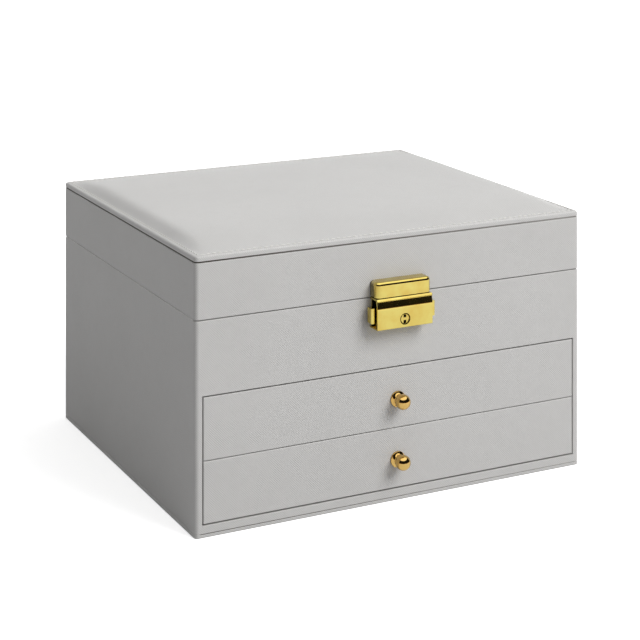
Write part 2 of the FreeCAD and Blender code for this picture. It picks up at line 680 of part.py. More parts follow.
def lock_springs():
    """Two small coil springs that push the buttons out."""
    coil_start = SEAT_X[1] + SPRING_WIRE + SPRING_END_GAP
    length = FOOT_X[0] - SEAT_X[1] - 2 * (SPRING_WIRE + SPRING_END_GAP)
    helix = Part.makeHelix(length / SPRING_TURNS, length, SPRING_RADIUS)
    profile = Part.Wire(Part.makeCircle(SPRING_WIRE, Vector(SPRING_RADIUS, 0, 0), Vector(0, 1, 0)))
    coil = Part.Wire(helix).makePipeShell([profile], True, False)
    coil.rotate(Vector(0, 0, 0), Vector(0, 1, 0), 90)
    coil.translate(Vector(coil_start, SPRING_Y, SPRING_Z))
    return group(both_sides(Part.Solid(coil) if coil.ShapeType == "Shell" else coil))


def lock_screws():
    return group([wood_screw(x, LOCK_SCREW_Z, PLATE_FACE, -1) for x in (-LOCK_SCREW_X, LOCK_SCREW_X)])


def lock_plug():
    """Round key plug with a stepped, dished face and two square key holes."""
    front = LOCK_FACE + PLUG_SET_BACK
    step = front + PLUG_STEP
    face = rod((0, front, PLUG_Z), (0, 1, 0), PLUG_FACE_RADIUS, CAM_Y[0] - front)
    barrel = rod((0, step, PLUG_Z), (0, 1, 0), PLUG_RADIUS, CAM_Y[0] - step)
    rim, depth = PLUG_DISH
    dish = rod((0, front - 1, PLUG_Z), (0, 1, 0), PLUG_FACE_RADIUS - rim, depth + 1)
    half_x, half_z = KEY_HOLE_HALF
    key_holes = [block((-half_x, half_x), (front - 1, front + KEY_HOLE_DEPTH),
                       (PLUG_Z + centre - half_z, PLUG_Z + centre + half_z)) for centre in KEY_HOLE_Z]
    return fused(face, barrel).cut([dish] + key_holes)


def lock_cam():
    """Two-ended cam behind the plug: upright when unlocked, level when locked."""
    bar = block((-CAM_WIDTH_HALF, CAM_WIDTH_HALF), CAM_Y, (PLUG_Z - CAM_HALF, PLUG_Z + CAM_HALF))
    return rounded_edges(bar, CAM_END_ROUND, lambda point: abs(point.y - sum(CAM_Y) / 2) < 1e-6)


def lock_hasp():
    """Cap on the lid with rounded corners and a pocket below for the tongue."""
    face = FRONT_FACE - HASP_DEPTH
    half = LOCK_HALF - HASP_INSET
    cap = block((-half, half), (face, FRONT_FACE), (HASP_BOTTOM, HASP_TOP))
    cap = rounded_edges(
        cap, HASP_CORNER,
        lambda point: abs(point.y - face) < 1e-6 and abs(abs(point.x) - half) < 1e-6)
    cap = rounded_edges(
        cap, HASP_TOP_ROUND,
        lambda point: abs(point.z - HASP_TOP) < 1e-6 and point.y < FRONT_FACE - HASP_TOP_ROUND)
    pocket_x = TONGUE_X[1] + BRIDGE_LAP + POCKET_GAP
    pocket = block((-pocket_x, pocket_x), (face + LOCK_WALL, FRONT_FACE),
                   (HASP_BOTTOM - 1, HASP_TOP - HASP_ROOF))
    return cap.cut([pocket] + hasp_screw_holes())


def hasp_tongue():
    """Two prongs with inward hooks, on a bridge that is held in the hasp's pocket."""
    bridge_x = TONGUE_X[1] + BRIDGE_LAP
    bridge_bottom = HASP_BOTTOM + BRIDGE_RISE
    bridge = block((-bridge_x, bridge_x), (FRONT_FACE - HASP_DEPTH + LOCK_WALL, FRONT_FACE),
                   (bridge_bottom, HASP_TOP - HASP_ROOF))
    prong = block(TONGUE_X, TONGUE_Y, (PRONG_BOTTOM, bridge_bottom + 1))
    hook = block((HOOK_IN, TONGUE_X[0]), TONGUE_Y, (PRONG_BOTTOM, HOOK_TOP))
    return fused(bridge, *both_sides(prong), *both_sides(hook))


# ---- Drawers ----
FRONT_X = INNER_X - FRONT_GAP
BOX_X = INNER_X - SLIDE_GAP * 2.5
BOX_BACK = INNER_Y - DRAWER_BACK_GAP


def drawer_front(span):
    """The front's board, inside its leatherette, with a stepped hole for the knob's screw."""
    board = block((-FRONT_X + SKIN, FRONT_X - SKIN), (-CORE_Y, -INNER_Y),
                  (span[0] + SKIN, span[1] - SKIN))
    return board.cut(knob_screw(span, SCREW_CLEARANCE))


def drawer_front_cover(span):
    """Leatherette over the front's face and edges."""
    skin = block((-FRONT_X, FRONT_X), (FRONT_FACE, -INNER_Y), span)
    skin = rounded_edges(skin, SEAM_ROUND, lambda point: abs(point.y - FRONT_FACE) < 1e-6)
    board = block((-FRONT_X + SKIN, FRONT_X - SKIN), (-CORE_Y, -INNER_Y + 1),
                  (span[0] + SKIN, span[1] - SKIN))
    return skin.cut([board, knob_screw(span, SCREW_CLEARANCE)])


def drawer_walls_z(span, floor):
    return (floor + SLIDE_GAP, span[1] - DRAWER_WALL_DROP)


def drawer_sides(span, floor):
    x = (BOX_X - DRAWER_SIDE, BOX_X)
    return group(both_sides(block(x, (-INNER_Y, BOX_BACK), drawer_walls_z(span, floor))))


def drawer_back(span, floor):
    x = BOX_X - DRAWER_SIDE
    return block((-x, x), (BOX_BACK - DRAWER_SIDE, BOX_BACK), drawer_walls_z(span, floor))


def drawer_bottom(span, floor):
    x = BOX_X - DRAWER_SIDE
    low = drawer_walls_z(span, floor)[0]
    return block((-x, x), (-INNER_Y, BOX_BACK - DRAWER_SIDE), (low, low + THIN_BOARD))


def drawer_lining(span, floor):
    """Velvet floor and walls inside the drawer."""
    low, high = drawer_walls_z(span, floor)
    x = BOX_X - DRAWER_SIDE
    back = BOX_BACK - DRAWER_SIDE
    outside = block((-x, x), (-INNER_Y, back), (low + THIN_BOARD, high))
    inside = block((-x + LINING, x - LINING), (-INNER_Y + LINING, back - LINING),
                   (low + THIN_BOARD + LINING, high + 1))
    return outside.cut(inside)


def drawer_dividers(span, floor, positions):
    """Velvet-covered walls from front to back at the given places along X."""
    low, high = drawer_walls_z(span, floor)
    y = (-INNER_Y + LINING, BOX_BACK - DRAWER_SIDE - LINING)
    z = (low + THIN_BOARD + LINING, high - 3 * LINING)
    half = THIN_BOARD / 2
    return group([block((x - half, x + half), y, z) for x in positions])


def knob_centre(span):
    return (span[0] + span[1]) / 2 - KNOB_DROP


def knob_screw(span, grow=0.0):
    """Machine screw from inside the drawer into the knob, larger by grow for its hole."""
    z = knob_centre(span)
    head_y = -INNER_Y - KNOB_SCREW_HEAD
    reach = abs(FRONT_FACE - head_y) + KNOB_LENGTH / 2 + grow
    shank = rod((0, head_y, z), (0, -1, 0), KNOB_SCREW_RADIUS + grow, reach)
    head = rod((0, head_y, z), (0, 1, 0), KNOB_SCREW_HEAD_RADIUS + grow, KNOB_SCREW_HEAD)
    screw = fused(shank, head)
    if grow:
        return screw
    half, depth = KNOB_SCREW_SLOT
    slot = block((-half, half), (-INNER_Y - depth, -INNER_Y + 1),
                 (z - KNOB_SCREW_HEAD_RADIUS, z + KNOB_SCREW_HEAD_RADIUS))
    return screw.cut(slot)


def knob(span):
    """A domed knob: thin flange, trumpet neck and ball head, turned about the Y axis."""
    z = knob_centre(span)
    ball_centre = KNOB_LENGTH - KNOB_BALL_RADIUS
    neck_end = ball_centre - math.sqrt(KNOB_BALL_RADIUS**2 - KNOB_NECK_RADIUS**2)
    rim = KNOB_FLANGE_ROUND
    rim_bulge = rim * math.sqrt(0.5)
    foot = Vector(0, 0, 0)
    flange_low = Vector(KNOB_FLANGE_RADIUS, 0, 0)
    flange_high = Vector(KNOB_FLANGE_RADIUS, KNOB_FLANGE, 0)
    rim_middle = Vector(KNOB_FLANGE_RADIUS - rim + rim_bulge, KNOB_FLANGE + rim_bulge, 0)
    neck_low = Vector(KNOB_FLANGE_RADIUS - rim, KNOB_FLANGE + rim, 0)
    neck_middle = Vector(KNOB_NECK_RADIUS + KNOB_NECK_FLARE, (neck_low.y + neck_end) / 2, 0)
    neck_top = Vector(KNOB_NECK_RADIUS, neck_end, 0)
    half_ball = Vector(KNOB_BALL_RADIUS, ball_centre, 0)
    pole = Vector(0, KNOB_LENGTH, 0)
    edges = [
        Part.makeLine(foot, flange_low),
        Part.makeLine(flange_low, flange_high),
        Part.Arc(flange_high, rim_middle, neck_low).toShape(),
        Part.Arc(neck_low, neck_middle, neck_top).toShape(),
        Part.Arc(neck_top, half_ball, pole).toShape(),
        Part.makeLine(pole, foot),
    ]
    turned = Part.Face(Part.Wire(edges)).revolve(Vector(0, 0, 0), Vector(0, 1, 0), 360)
    turned.rotate(Vector(0, 0, 0), Vector(1, 0, 0), 180)
    turned.translate(Vector(0, FRONT_FACE, z))
    return turned.cut(knob_screw(span, SCREW_CLEARANCE))


def drawer_parts(name, span, floor, dividers):
    return {
        f"{name}_drawer_front": drawer_front(span),
        f"{name}_drawer_front_cover": drawer_front_cover(span),
        f"{name}_drawer_sides": drawer_sides(span, floor),
        f"{name}_drawer_back": drawer_back(span, floor),
        f"{name}_drawer_bottom": drawer_bottom(span, floor),
        f"{name}_drawer_lining": drawer_lining(span, floor),
        f"{name}_drawer_dividers": drawer_dividers(span, floor, dividers),
        f"{name}_drawer_knob": knob(span),
        f"{name}_knob_screw": knob_screw(span),
    }


# ---- The whole chest ----
def chest_parts():
    right_button = lock_button()
    parts = {
        "base_board": base_board(),
        "case_floor": case_floor(),
        "case_left_panel": case_side_panel(-1),
        "case_right_panel": case_side_panel(1),
        "case_back_panel": case_back_panel(),
        "case_front_fascia": case_front_fascia(),
        "tray_shelf": tray_shelf(),
        "runner_shelf": runner_shelf(),
        "case_cover": case_cover(),
        "upper_lining": upper_lining(),
        "tray_dividers": tray_dividers(),
        "ring_rolls": ring_rolls(),
        "hinge_lower_leaves": hinge_leaves(-1),
        "hinge_pins": hinge_pins(),
        "case_hinge_screws": hinge_screws(LOWER_SCREW_Z),
        "lock_body": lock_body(),
        "lock_back_plate": lock_back_plate(),
        "lock_springs": lock_springs(),
        "lock_screws": lock_screws(),
        "lid_front_rail": lid_front_rail(),
        "lid_back_rail": lid_back_rail(),
        "lid_left_rail": lid_side_rail(-1),
        "lid_right_rail": lid_side_rail(1),
        "lid_cover": lid_cover(),
        "top_board": top_board(),
        "top_foam": top_foam(),
        "top_cover": top_cover(),
        "lid_lining": lid_lining(),
        "mirror": mirror(),
        "mirror_frame": mirror_frame(),
        "hinge_upper_leaves": hinge_leaves(1),
        "lid_hinge_screws": hinge_screws(UPPER_SCREW_Z),
        "lock_hasp": lock_hasp(),
        "hasp_tongue": hasp_tongue(),
        "hasp_screws": hasp_screws(),
        "lock_button_right": right_button,
        "lock_button_left": both_sides(right_button)[1],
        "lock_plug": lock_plug(),
        "lock_cam": lock_cam(),
    }
    parts.update(drawer_parts("upper", UPPER_FRONT, RUNNER_SHELF_TOP, (-41.0, 41.0)))
    parts.update(drawer_parts("lower", LOWER_FRONT, FLOOR_TOP, (0.0,)))
    return parts


os.makedirs("parts", exist_ok=True)
for node, shape in chest_parts().items():
    shape.exportStep(f"parts/{node}.step")
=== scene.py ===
"""Looks of the jewellery chest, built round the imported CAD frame. Metres, +Z up, front towards -Y."""

import json
import math

import bmesh
import bpy
import numpy as np
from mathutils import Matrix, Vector, noise
from mathutils.bvhtree import BVHTree

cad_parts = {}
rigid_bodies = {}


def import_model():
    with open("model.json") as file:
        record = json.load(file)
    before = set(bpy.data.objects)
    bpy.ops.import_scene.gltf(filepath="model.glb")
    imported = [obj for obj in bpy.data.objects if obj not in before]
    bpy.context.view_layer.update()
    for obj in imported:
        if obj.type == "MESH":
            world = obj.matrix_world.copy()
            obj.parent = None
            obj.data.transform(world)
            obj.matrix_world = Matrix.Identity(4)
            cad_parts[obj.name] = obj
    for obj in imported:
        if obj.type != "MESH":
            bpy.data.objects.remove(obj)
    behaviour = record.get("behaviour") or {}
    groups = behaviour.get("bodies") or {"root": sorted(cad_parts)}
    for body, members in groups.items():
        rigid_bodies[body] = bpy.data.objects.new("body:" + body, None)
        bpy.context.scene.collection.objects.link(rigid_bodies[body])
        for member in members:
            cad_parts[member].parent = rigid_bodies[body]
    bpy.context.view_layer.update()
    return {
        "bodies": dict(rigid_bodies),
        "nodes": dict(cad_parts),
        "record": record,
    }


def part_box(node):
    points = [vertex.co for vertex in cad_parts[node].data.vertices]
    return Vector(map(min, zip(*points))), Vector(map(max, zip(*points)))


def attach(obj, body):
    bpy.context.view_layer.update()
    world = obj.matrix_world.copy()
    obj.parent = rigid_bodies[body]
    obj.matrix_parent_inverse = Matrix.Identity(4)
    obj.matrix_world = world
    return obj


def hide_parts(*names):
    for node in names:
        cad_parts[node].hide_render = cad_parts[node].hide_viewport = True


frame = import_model()

MM = 0.001
BLACK = (0.0, 0.0, 0.0, 1.0)
WHITE = (1.0, 1.0, 1.0, 1.0)

# ---- Leatherette's crosshatch ----
RIDGE_PITCH = 1.35 * MM
GRAIN = 0.75

# ---- Smoothing of made meshes ----
SMOOTH_ANGLE = 35           # degrees: steeper edges are shown sharp
SOFT_ANGLE = 80
ROLL_ANGLE = 60
KNOB_ANGLE = 40
CRISP_ANGLE = 30
WELD_DISTANCE = 0.001 * MM
SHORTEST = 1e-12            # keeps a division by a step's length safe

# ---- Leatherette top ----
LEATHER_THICKNESS = 0.6 * MM
BORDER = 2.9 * MM           # outer edge to stitch line
BORDER_RISE = 0.8 * MM      # the padded border over the lid's top board
EDGE_ROUND = 1.2 * MM
EDGE_GAP = 0.50 * MM        # shadow gap under the turned edge, recessed into it
# (inset, height) steps under the turned edge
EDGE_TUCK = ((2.2 * MM, 0.4 * MM), (0.6 * MM, 0.0), (0.15 * MM, 0.0), (0.0, 0.15 * MM))
BORDER_PUFF = 0.05 * MM
EDGE_CORNER = 2.5 * MM
EDGE_CORNER_LEAST = 1.2 * MM
TOP_COUNTS = (272, 236, 10)    # points along X, along Y and per corner
SEAM_COUNTS = (60, 60, 10)
GROOVE_DEPTH = 0.08 * MM
GROOVE_HALF = 0.45 * MM
CROWN_OVER = 0.6 * MM       # the leatherette stands this far over the plain crown
SIDE_REACH = 14.0 * MM      # left or right stitch line to where the crown levels off
FRONT_REACH = 55.0 * MM     # the same from the front and the back, where the pad is stretched flatter
FRONT_FULLNESS = 2.3
SHOULDER_START = 2.7        # towards 4 the crown leaves the stitch line more gently
STITCH_PITCH = 3.6 * MM
STITCH_LENGTH = 2.7 * MM
THREAD_RADIUS = 0.34 * MM
STITCH_CORNER = 1.6 * MM
STITCH_SINK = 0.75          # of the groove's depth
PUCKER = 0.05 * MM          # between the stitches
PUCKER_REACH = 2.2 * MM
PAD_START = 0.55            # height of the pad before it swells, as a share of the crown
PAD_CORNER = 3.0 * MM
PAD_COUNTS = (40, 36, 4)
PAD_VOXEL = 5.0 * MM
PAD_HELD = 4.0 * MM         # width of the pinned edge
PAD_PRESSURE = 4.0
PAD_FRAMES = 20
PAD_MOST_SHIFT = 8.0 * MM
PAD_SWELL = 0.25            # share of the crown's height that follows the simulated pad
PAD_GRID = (66, 58)
PAD_SMOOTHING = 12
CROWN_CORNER_GROWTH = 0.45  # how fast the mesh rings round off at the corners
CROWN_WANDER = 0.12 * MM    # slight unevenness of the crown
CROWN_WANDER_SCALE = 22.0
CROWN_WANDER_START = 12.0 * MM
CROWN_INSETS = MM * np.concatenate([
    np.arange(0.5, 6.0, 0.5), np.arange(6.0, 16.0, 1.0), np.arange(16.0, 40.0, 2.0),
    np.arange(40.0, 108.0, 4.0), [109.0]])
EDGE_SHADE_INSETS = (0.3 * MM, 0.3 * MM)   # strip of painted shade in the gap under the turned edge, at the sides and the front
SEAM_SHADE_DEPTH = 1.1 * MM
SEAM_SHADE_LAP = 0.3 * MM
BASE_SHADE_INSETS = (1.2 * MM, 0.12 * MM)  # strip of painted shade in the seam over the base board, seen at the front
BASE_SEAM = 0.22 * MM       # its half height
BEAD_RADIUS = 0.28 * MM     # leatherette turned over the case's rim, which bulges at the sides
BEAD_SET_BACK = (0.10 * MM, 2.00 * MM)   # its middle inside the left and right faces, and the front

# ---- Soft inside ----
TRAY_WALL = 2.0 * MM
DRAWER_LINING_WALL = 1.0 * MM
LINING_FLOOR = 1.0 * MM
LINING_BEND = 1.6 * MM      # between wall and floor
LINING_CORNER_LEAST = 0.4 * MM
LINING_COUNTS = (90, 80, 5)
LINING_PUFF = 0.18 * MM
LINING_PUFF_SCALE = 60.0
TRAY_CORNER = 2.0 * MM
BOX_CORNER = 0.6 * MM
LID_LINING_FLOOR = 1.5 * MM
WALL_ROUND = 0.95 * MM
WALL_COUNTS = (30, 6, 4)
ROLL_SIDES, ROLL_SLICES = 40, 48
ROLL_END = 0.55             # width of a roll at its end, as a share of its middle
ROLL_TAPER = 5.0 * MM
ROLL_SQUARENESS = 0.75      # 1 would be an ellipse
ROLL_GATHERS = 9
ROLL_GATHER_DEPTH = 0.012
ROLL_GATHER_REACH = 6.0 * MM
ROLL_WOBBLE = 0.02
ROLL_WOBBLE_SCALE = 12
ROLL_SEED_STEP = 1.7
FRAME_LAP = 2.0 * MM        # of the mirror frame over the mirror
FRAME_CORNER = 1.2 * MM
FRAME_COUNTS = (90, 80, 4)
FRAME_EDGE = 0.30           # height of the frame's edges, as a share of its middle
FRAME_FULLNESS = 0.45
FRAME_RIPPLE = 0.2 * MM
FRAME_RIPPLE_SCALE = 70.0
MIRROR_SEAT_GAP = 0.05 * MM

# ---- Lock and knobs ----
LOCK_WALL = 1.0 * MM
LOCK_BAND_BOTTOM = 11.6 * MM     # from the lock's lower edge to where the front bends back
LOCK_BAND_TOP = 16.5 * MM
LOCK_BAND_LEAN = 11.0            # degrees
LOCK_BEND_RADIUS = 6.0 * MM
LOCK_LIP_SET_BACK = 0.1 * MM
LOCK_LIP_HEIGHT = 1.15 * MM
LOCK_LIP_RUN = 0.85 * MM
LOCK_EDGE_ROUND = 0.5 * MM
PLUG_BORE = 3.36 * MM
PLUG_FACE = 2.8 * MM             # radius
PLUG_RIM = 0.2 * MM
PLUG_DISH = 0.25 * MM
PLUG_STEP = 3.0 * MM
KEY_HOLES = (-1.65 * MM, 1.65 * MM)
KEY_HOLE_HALF = 0.92 * MM
KEY_HOLE_DEPTH = 3.5 * MM
TONGUE_SLOT = (8.0 * MM, -6.3 * MM, -3.4 * MM)   # half width, and depths in front of the case
HASP_CORNER = 3.2 * MM           # softer to the eye than the CAD corner
HASP_TOP_ROUND = 2.2 * MM
HASP_BOTTOM_ROUND = 0.3 * MM
HASP_ROOF = 2.4 * MM
HASP_POCKET = 8.4 * MM           # half width
METAL_BEVEL = 0.12 * MM
BEVEL_ANGLE = 25                 # degrees: gentler edges stay unbevelled
TURNED_SLICES = 96
KNOB_BALL_RADIUS = 4.5 * MM
KNOB_NECK_RADIUS = 2.9 * MM
KNOB_FLANGE = 0.7 * MM
KNOB_FLANGE_ROUND = 0.4 * MM
KNOB_POLE = 89.1                 # degrees: the ball's mesh ends just short of its pole

# ---- Camera: level, with its lens shifted down, as for a picture with upright verticals ----
CAMERA_PLACE = (-0.5184, -1.0445, 0.4099)
CAMERA_TURN = -26.647
LENS = 100.72
LENS_SHIFT = -0.7964
WIDE_LENS = 62.0            # for poses that reach out of the close view
WIDE_SHIFT = -0.33

# ---- Studio ----
WORLD_SOFT = 0.55
WORLD_LEAN = 0.5            # how much brighter the soft light is from the right
BACKDROP_WHITE = 2.2
BACKDROP_EDGE = (0.20, 0.42)   # sine of the heights between which the backdrop ends
OVERHEAD_WHITE = 1.6
OVERHEAD_EDGE = (0.66, 0.72)   # the same for where the white ceiling begins
HORIZON_HEIGHT = 0.055
HORIZON_GLOW = 0.7
HORIZON_COLOUR = (1.0, 0.42, 0.25, 1.0)
ROOM_DARK = 0.012
FLOOR_HALF = 6.0
FLOOR_BOUNCE = 0.4
FLOOR_GLOW = 0.60
KEY_AZIMUTH = 30.0          # degrees right of the front
KEY_ELEVATION = 40.0
KEY_DISTANCE = 2.2
KEY_SIZE = 1.15
KEY_TARGET = (0.0, 0.0, 0.08)
KEY_POWER = 35.5


# ==== mesh helpers ====
def middle_and_half(low, high):
    """A box's middle and its half sizes."""
    low, high = np.array(low), np.array(high)
    return (low + high) / 2, (high - low) / 2


def plain_mesh(name, points, faces):
    mesh = bpy.data.meshes.new(name)
    mesh.from_pydata([tuple(p) for p in points], [], [tuple(f) for f in faces])
    mesh.update()
    return mesh


def placed(name, mesh):
    """A new object in the scene, of a mesh, a light or a camera."""
    piece = bpy.data.objects.new(name, mesh)
    bpy.context.scene.collection.objects.link(piece)
    return piece


def riding(name, mesh, material, body):
    """An object of a mesh in one material that rides on a body."""
    piece = placed(name, mesh)
    mesh.materials.clear()
    mesh.materials.append(material)
    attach(piece, body)
    return piece


def mesh_object(name, shape, material, body, smooth_angle=SMOOTH_ANGLE):
    """A riding object from (points, faces), smooth across edges up to an angle."""
    mesh = plain_mesh(name, *shape)
    mesh.validate()
    mesh.shade_smooth()
    mesh.set_sharp_from_angle(angle=math.radians(smooth_angle))
    return riding(name, mesh, material, body)


def stand_for(piece, nodes):
    """Hides the CAD nodes that a piece stands in for."""
    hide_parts(*nodes)


def arc(across, up, radius, start, end, count):
    """Points of a circle's part round (across, up) between two angles in degrees."""
    angles = np.radians(np.linspace(start, end, count))
    return [(across + radius * math.cos(angle), up + radius * math.sin(angle)) for angle in angles]


def rounded_loop(half_x, half_y, radius, counts):
    """Points of a rounded rectangle, anticlockwise. counts: per side along X, along Y and per corner."""
    along_x, along_y, per_corner = counts
    radius = min(radius, half_x, half_y)
    corners = [(1, 1), (-1, 1), (-1, -1), (1, -1)]
    points = []
    for number, (sign_x, sign_y) in enumerate(corners):
        centre = np.array([sign_x * (half_x - radius), sign_y * (half_y - radius)])
        angles = np.radians(90 * number + np.linspace(0, 90, per_corner + 1))
        arc = centre + radius * np.column_stack([np.cos(angles), np.sin(angles)])
        points.extend(arc)
        next_x, next_y = corners[(number + 1) % 4]
        next_angle = math.radians(90 * (number + 1))
        next_start = np.array([next_x * (half_x - radius) + radius * math.cos(next_angle),
                               next_y * (half_y - radius) + radius * math.sin(next_angle)])
        steps = along_x if number % 2 == 0 else along_y
        for share in np.linspace(0, 1, steps + 1)[1:-1]:
            points.append(arc[-1] * (1 - share) + next_start * share)
    return np.array(points)


def level(flat, z):
    """Points in the plane at one height, or at one height each."""
    return np.column_stack([flat, np.full(len(flat), z)])


def loft(rings, close_start=True, close_end=True):
    """Points and faces of a skin through rings that have equally many points."""
    count = len(rings[0])
    points = np.concatenate(rings)
    faces = []
    for ring in range(len(rings) - 1):
        low = ring * count
        high = low + count
        for here in range(count):
            after = (here + 1) % count
            faces.append((low + here, low + after, high + after, high + here))
    if close_start:
        faces.append(tuple(reversed(range(count))))
    if close_end:
        last = (len(rings) - 1) * count
        faces.append(tuple(range(last, last + count)))
    return points, faces


def uneven(point, size, scale):
    """A smooth height between about -size and size that depends on the place alone."""
    return size * noise.noise(Vector(point) * scale)


def solid_boxes(node):
    """The box of each separate solid of a CAD node, sorted by place."""
    mesh = frame["nodes"][node].data
    places = np.array([v.co for v in mesh.vertices])
    _, merged = np.unique(np.round(places / (0.01 * MM)), axis=0, return_inverse=True)
    merged = merged.ravel()
    parent = list(range(merged.max() + 1))

    def root(item):
        while parent[item] != item:
            parent[item] = parent[parent[item]]
            item = parent[item]
        return item

    for polygon in mesh.polygons:
        first = root(merged[polygon.vertices[0]])
        for corner in polygon.vertices[1:]:
            parent[root(merged[corner])] = first
    roots = np.array([root(item) for item in merged])
    boxes = [(places[roots == r].min(0), places[roots == r].max(0)) for r in np.unique(roots)]
    return sorted(boxes, key=lambda box: tuple(np.round(box[0], 5)))


# ==== node helpers ====
def new_material(name):
    material = bpy.data.materials.new(name)
    material.use_nodes = True
    tree = material.node_tree
    return material, tree, tree.nodes["Principled BSDF"]


def feed(tree, node, inputs):
    """Gives a node its inputs: sockets are linked, other values written."""
    for key, value in inputs.items():
        if isinstance(value, bpy.types.NodeSocket):
            tree.links.new(value, node.inputs[key])
        else:
            node.inputs[key].default_value = value


def add(tree, kind, inputs=None, **settings):
    """A node with its settings and inputs."""
    node = tree.nodes.new(kind)
    for key, value in settings.items():
        setattr(node, key, value)
    feed(tree, node, inputs or {})
    return node


def calc(tree, operation, *values):
    return add(tree, "ShaderNodeMath", dict(enumerate(values)), operation=operation).outputs[0]


def weighted(tree, first, first_share, second, second_share):
    """The sum of two values, each times its share."""
    return calc(tree, "ADD", calc(tree, "MULTIPLY", first, first_share),
                calc(tree, "MULTIPLY", second, second_share))


def ramp(tree, value, low, high, start=0.0, end=1.0):
    """value from low..high mapped to start..end, clamped."""
    inputs = {"Value": value, "From Min": low, "From Max": high, "To Min": start, "To Max": end}
    return add(tree, "ShaderNodeMapRange", inputs).outputs[0]


def mix_colour(tree, share, first, second):
    return add(tree, "ShaderNodeMix", {0: share, 6: first, 7: second}, data_type="RGBA").outputs[2]


def opaque(colour, factor=1.0):
    """A colour made darker or paler, as red, green, blue and alpha."""
    return (*(min(1.0, part * factor) for part in colour), 1.0)


def noise_of(tree, place, scale, detail=2.0, roughness=0.5):
    inputs = {"Vector": place, "Scale": scale, "Detail": detail, "Roughness": roughness}
    return add(tree, "ShaderNodeTexNoise", inputs).outputs[0]


def object_place(tree):
    return add(tree, "ShaderNodeTexCoord").outputs["Object"]


def bump(tree, height, strength, distance, normal=None):
    inputs = {"Height": height, "Strength": strength, "Distance": distance}
    if normal is not None:
        inputs["Normal"] = normal
    return add(tree, "ShaderNodeBump", inputs).outputs[0]


def face_plane(tree):
    """Place across the surface as two lengths: x and z on the front, y and z on the sides, x and y on top."""
    coords = add(tree, "ShaderNodeTexCoord")
    place = add(tree, "ShaderNodeSeparateXYZ", {0: coords.outputs["Object"]}).outputs
    facing = add(tree, "ShaderNodeSeparateXYZ", {0: coords.outputs["Normal"]}).outputs
    on_side = calc(tree, "GREATER_THAN", calc(tree, "ABSOLUTE", facing[0]), 0.707)
    on_top = calc(tree, "GREATER_THAN", calc(tree, "ABSOLUTE", facing[2]), 0.6)
    across = add(tree, "ShaderNodeMix", {0: on_side, 2: place[0], 3: place[1]}).outputs[0]
    up = add(tree, "ShaderNodeMix", {0: on_top, 2: place[2], 3: place[1]}).outputs[0]
    return across, up, coords.outputs["Object"]


# ==== materials ====
def ridge_set(tree, along, wobble):
    """Fine parallel ridges, 0 to 1, at one pitch."""
    phase = calc(tree, "ADD", calc(tree, "MULTIPLY", along, 2 * math.pi / RIDGE_PITCH), wobble)
    return ramp(tree, calc(tree, "SINE", phase), -0.6, 1.0)


def leatherette(name, colour):
    """Faux leather pressed with a fine diagonal crosshatch."""
    material, tree, shader = new_material(name)
    across, up, place = face_plane(tree)
    drift = calc(tree, "MULTIPLY", noise_of(tree, place, 150.0), 2.2)
    rising = ridge_set(tree, calc(tree, "ADD", across, up), drift)
    falling = ridge_set(tree, calc(tree, "SUBTRACT", across, up), drift)
    leaning = noise_of(tree, place, 120.0)
    rising_share = ramp(tree, leaning, 0.35, 0.60, 0.45, 1.0)
    falling_share = ramp(tree, leaning, 0.40, 0.65, 1.0, 0.45)
    crossing = calc(tree, "MAXIMUM", calc(tree, "MULTIPLY", rising, rising_share),
                    calc(tree, "MULTIPLY", falling, falling_share))
    pores = noise_of(tree, place, 2600.0, 3.0, 0.6)
    height = calc(tree, "ADD", crossing, calc(tree, "MULTIPLY", pores, 0.3))
    # Painted shade: the colour is darker in the crosshatch's grooves; the cloud is a random tone.
    groove_shade = ramp(tree, crossing, 0.0, 0.8, 0.83, 1.02)
    cloud = ramp(tree, noise_of(tree, place, 18.0, 3.0), 0.3, 0.7, 0.975, 1.02)
    shade = calc(tree, "MULTIPLY", groove_shade, cloud)
    waviness = bump(tree, noise_of(tree, place, 60.0), 0.15, 0.25 * MM)
    feed(tree, shader, {
        "Base Color": mix_colour(tree, shade, BLACK, opaque(colour)),
        "Roughness": ramp(tree, height, 0.0, 1.2, 0.60, 0.42),
        "Specular IOR Level": 0.5,
        "Normal": bump(tree, height, GRAIN, 0.14 * MM, waviness)})
    return material


def plated_gold(name, colour=(0.66, 0.55, 0.156), roughness=0.055):
    """Polished yellow plating with faint orange peel and hairline scratches, darkened in recesses by painted
    shade.
    """
    material, tree, shader = new_material(name)
    place = object_place(tree)
    smears = noise_of(tree, place, 140.0, 3.0)
    stretched = add(tree, "ShaderNodeMapping", {"Vector": place, "Scale": (900.0, 900.0, 9000.0)})
    scratches = noise_of(tree, stretched.outputs[0], 1.0, 2.0, 0.7)
    warm = (colour[0] * 0.93, colour[1] * 0.80, colour[2] * 0.66, 1.0)
    tint = mix_colour(tree, ramp(tree, smears, 0.35, 0.75), opaque(colour), warm)
    # Painted shade: ambient occlusion darkens the colour towards a dark brown in recesses and gaps.
    openness = add(tree, "ShaderNodeAmbientOcclusion", {"Distance": 1.4 * MM}, samples=8).outputs["AO"]
    painted_recess_shade = (colour[0] * 0.10, colour[1] * 0.05, colour[2] * 0.05, 1.0)
    rough = calc(tree, "ADD", ramp(tree, smears, 0.3, 0.7, roughness * 0.75, roughness * 1.3),
                 ramp(tree, scratches, 0.62, 0.75, 0.0, 0.03))
    feed(tree, shader, {
        "Base Color": mix_colour(tree, ramp(tree, openness, 0.12, 0.50), painted_recess_shade, tint),
        "Metallic": 1.0,
        "Roughness": rough,
        "Normal": bump(tree, noise_of(tree, place, 200.0, 1.0), 0.03, 0.03 * MM)})
    return material


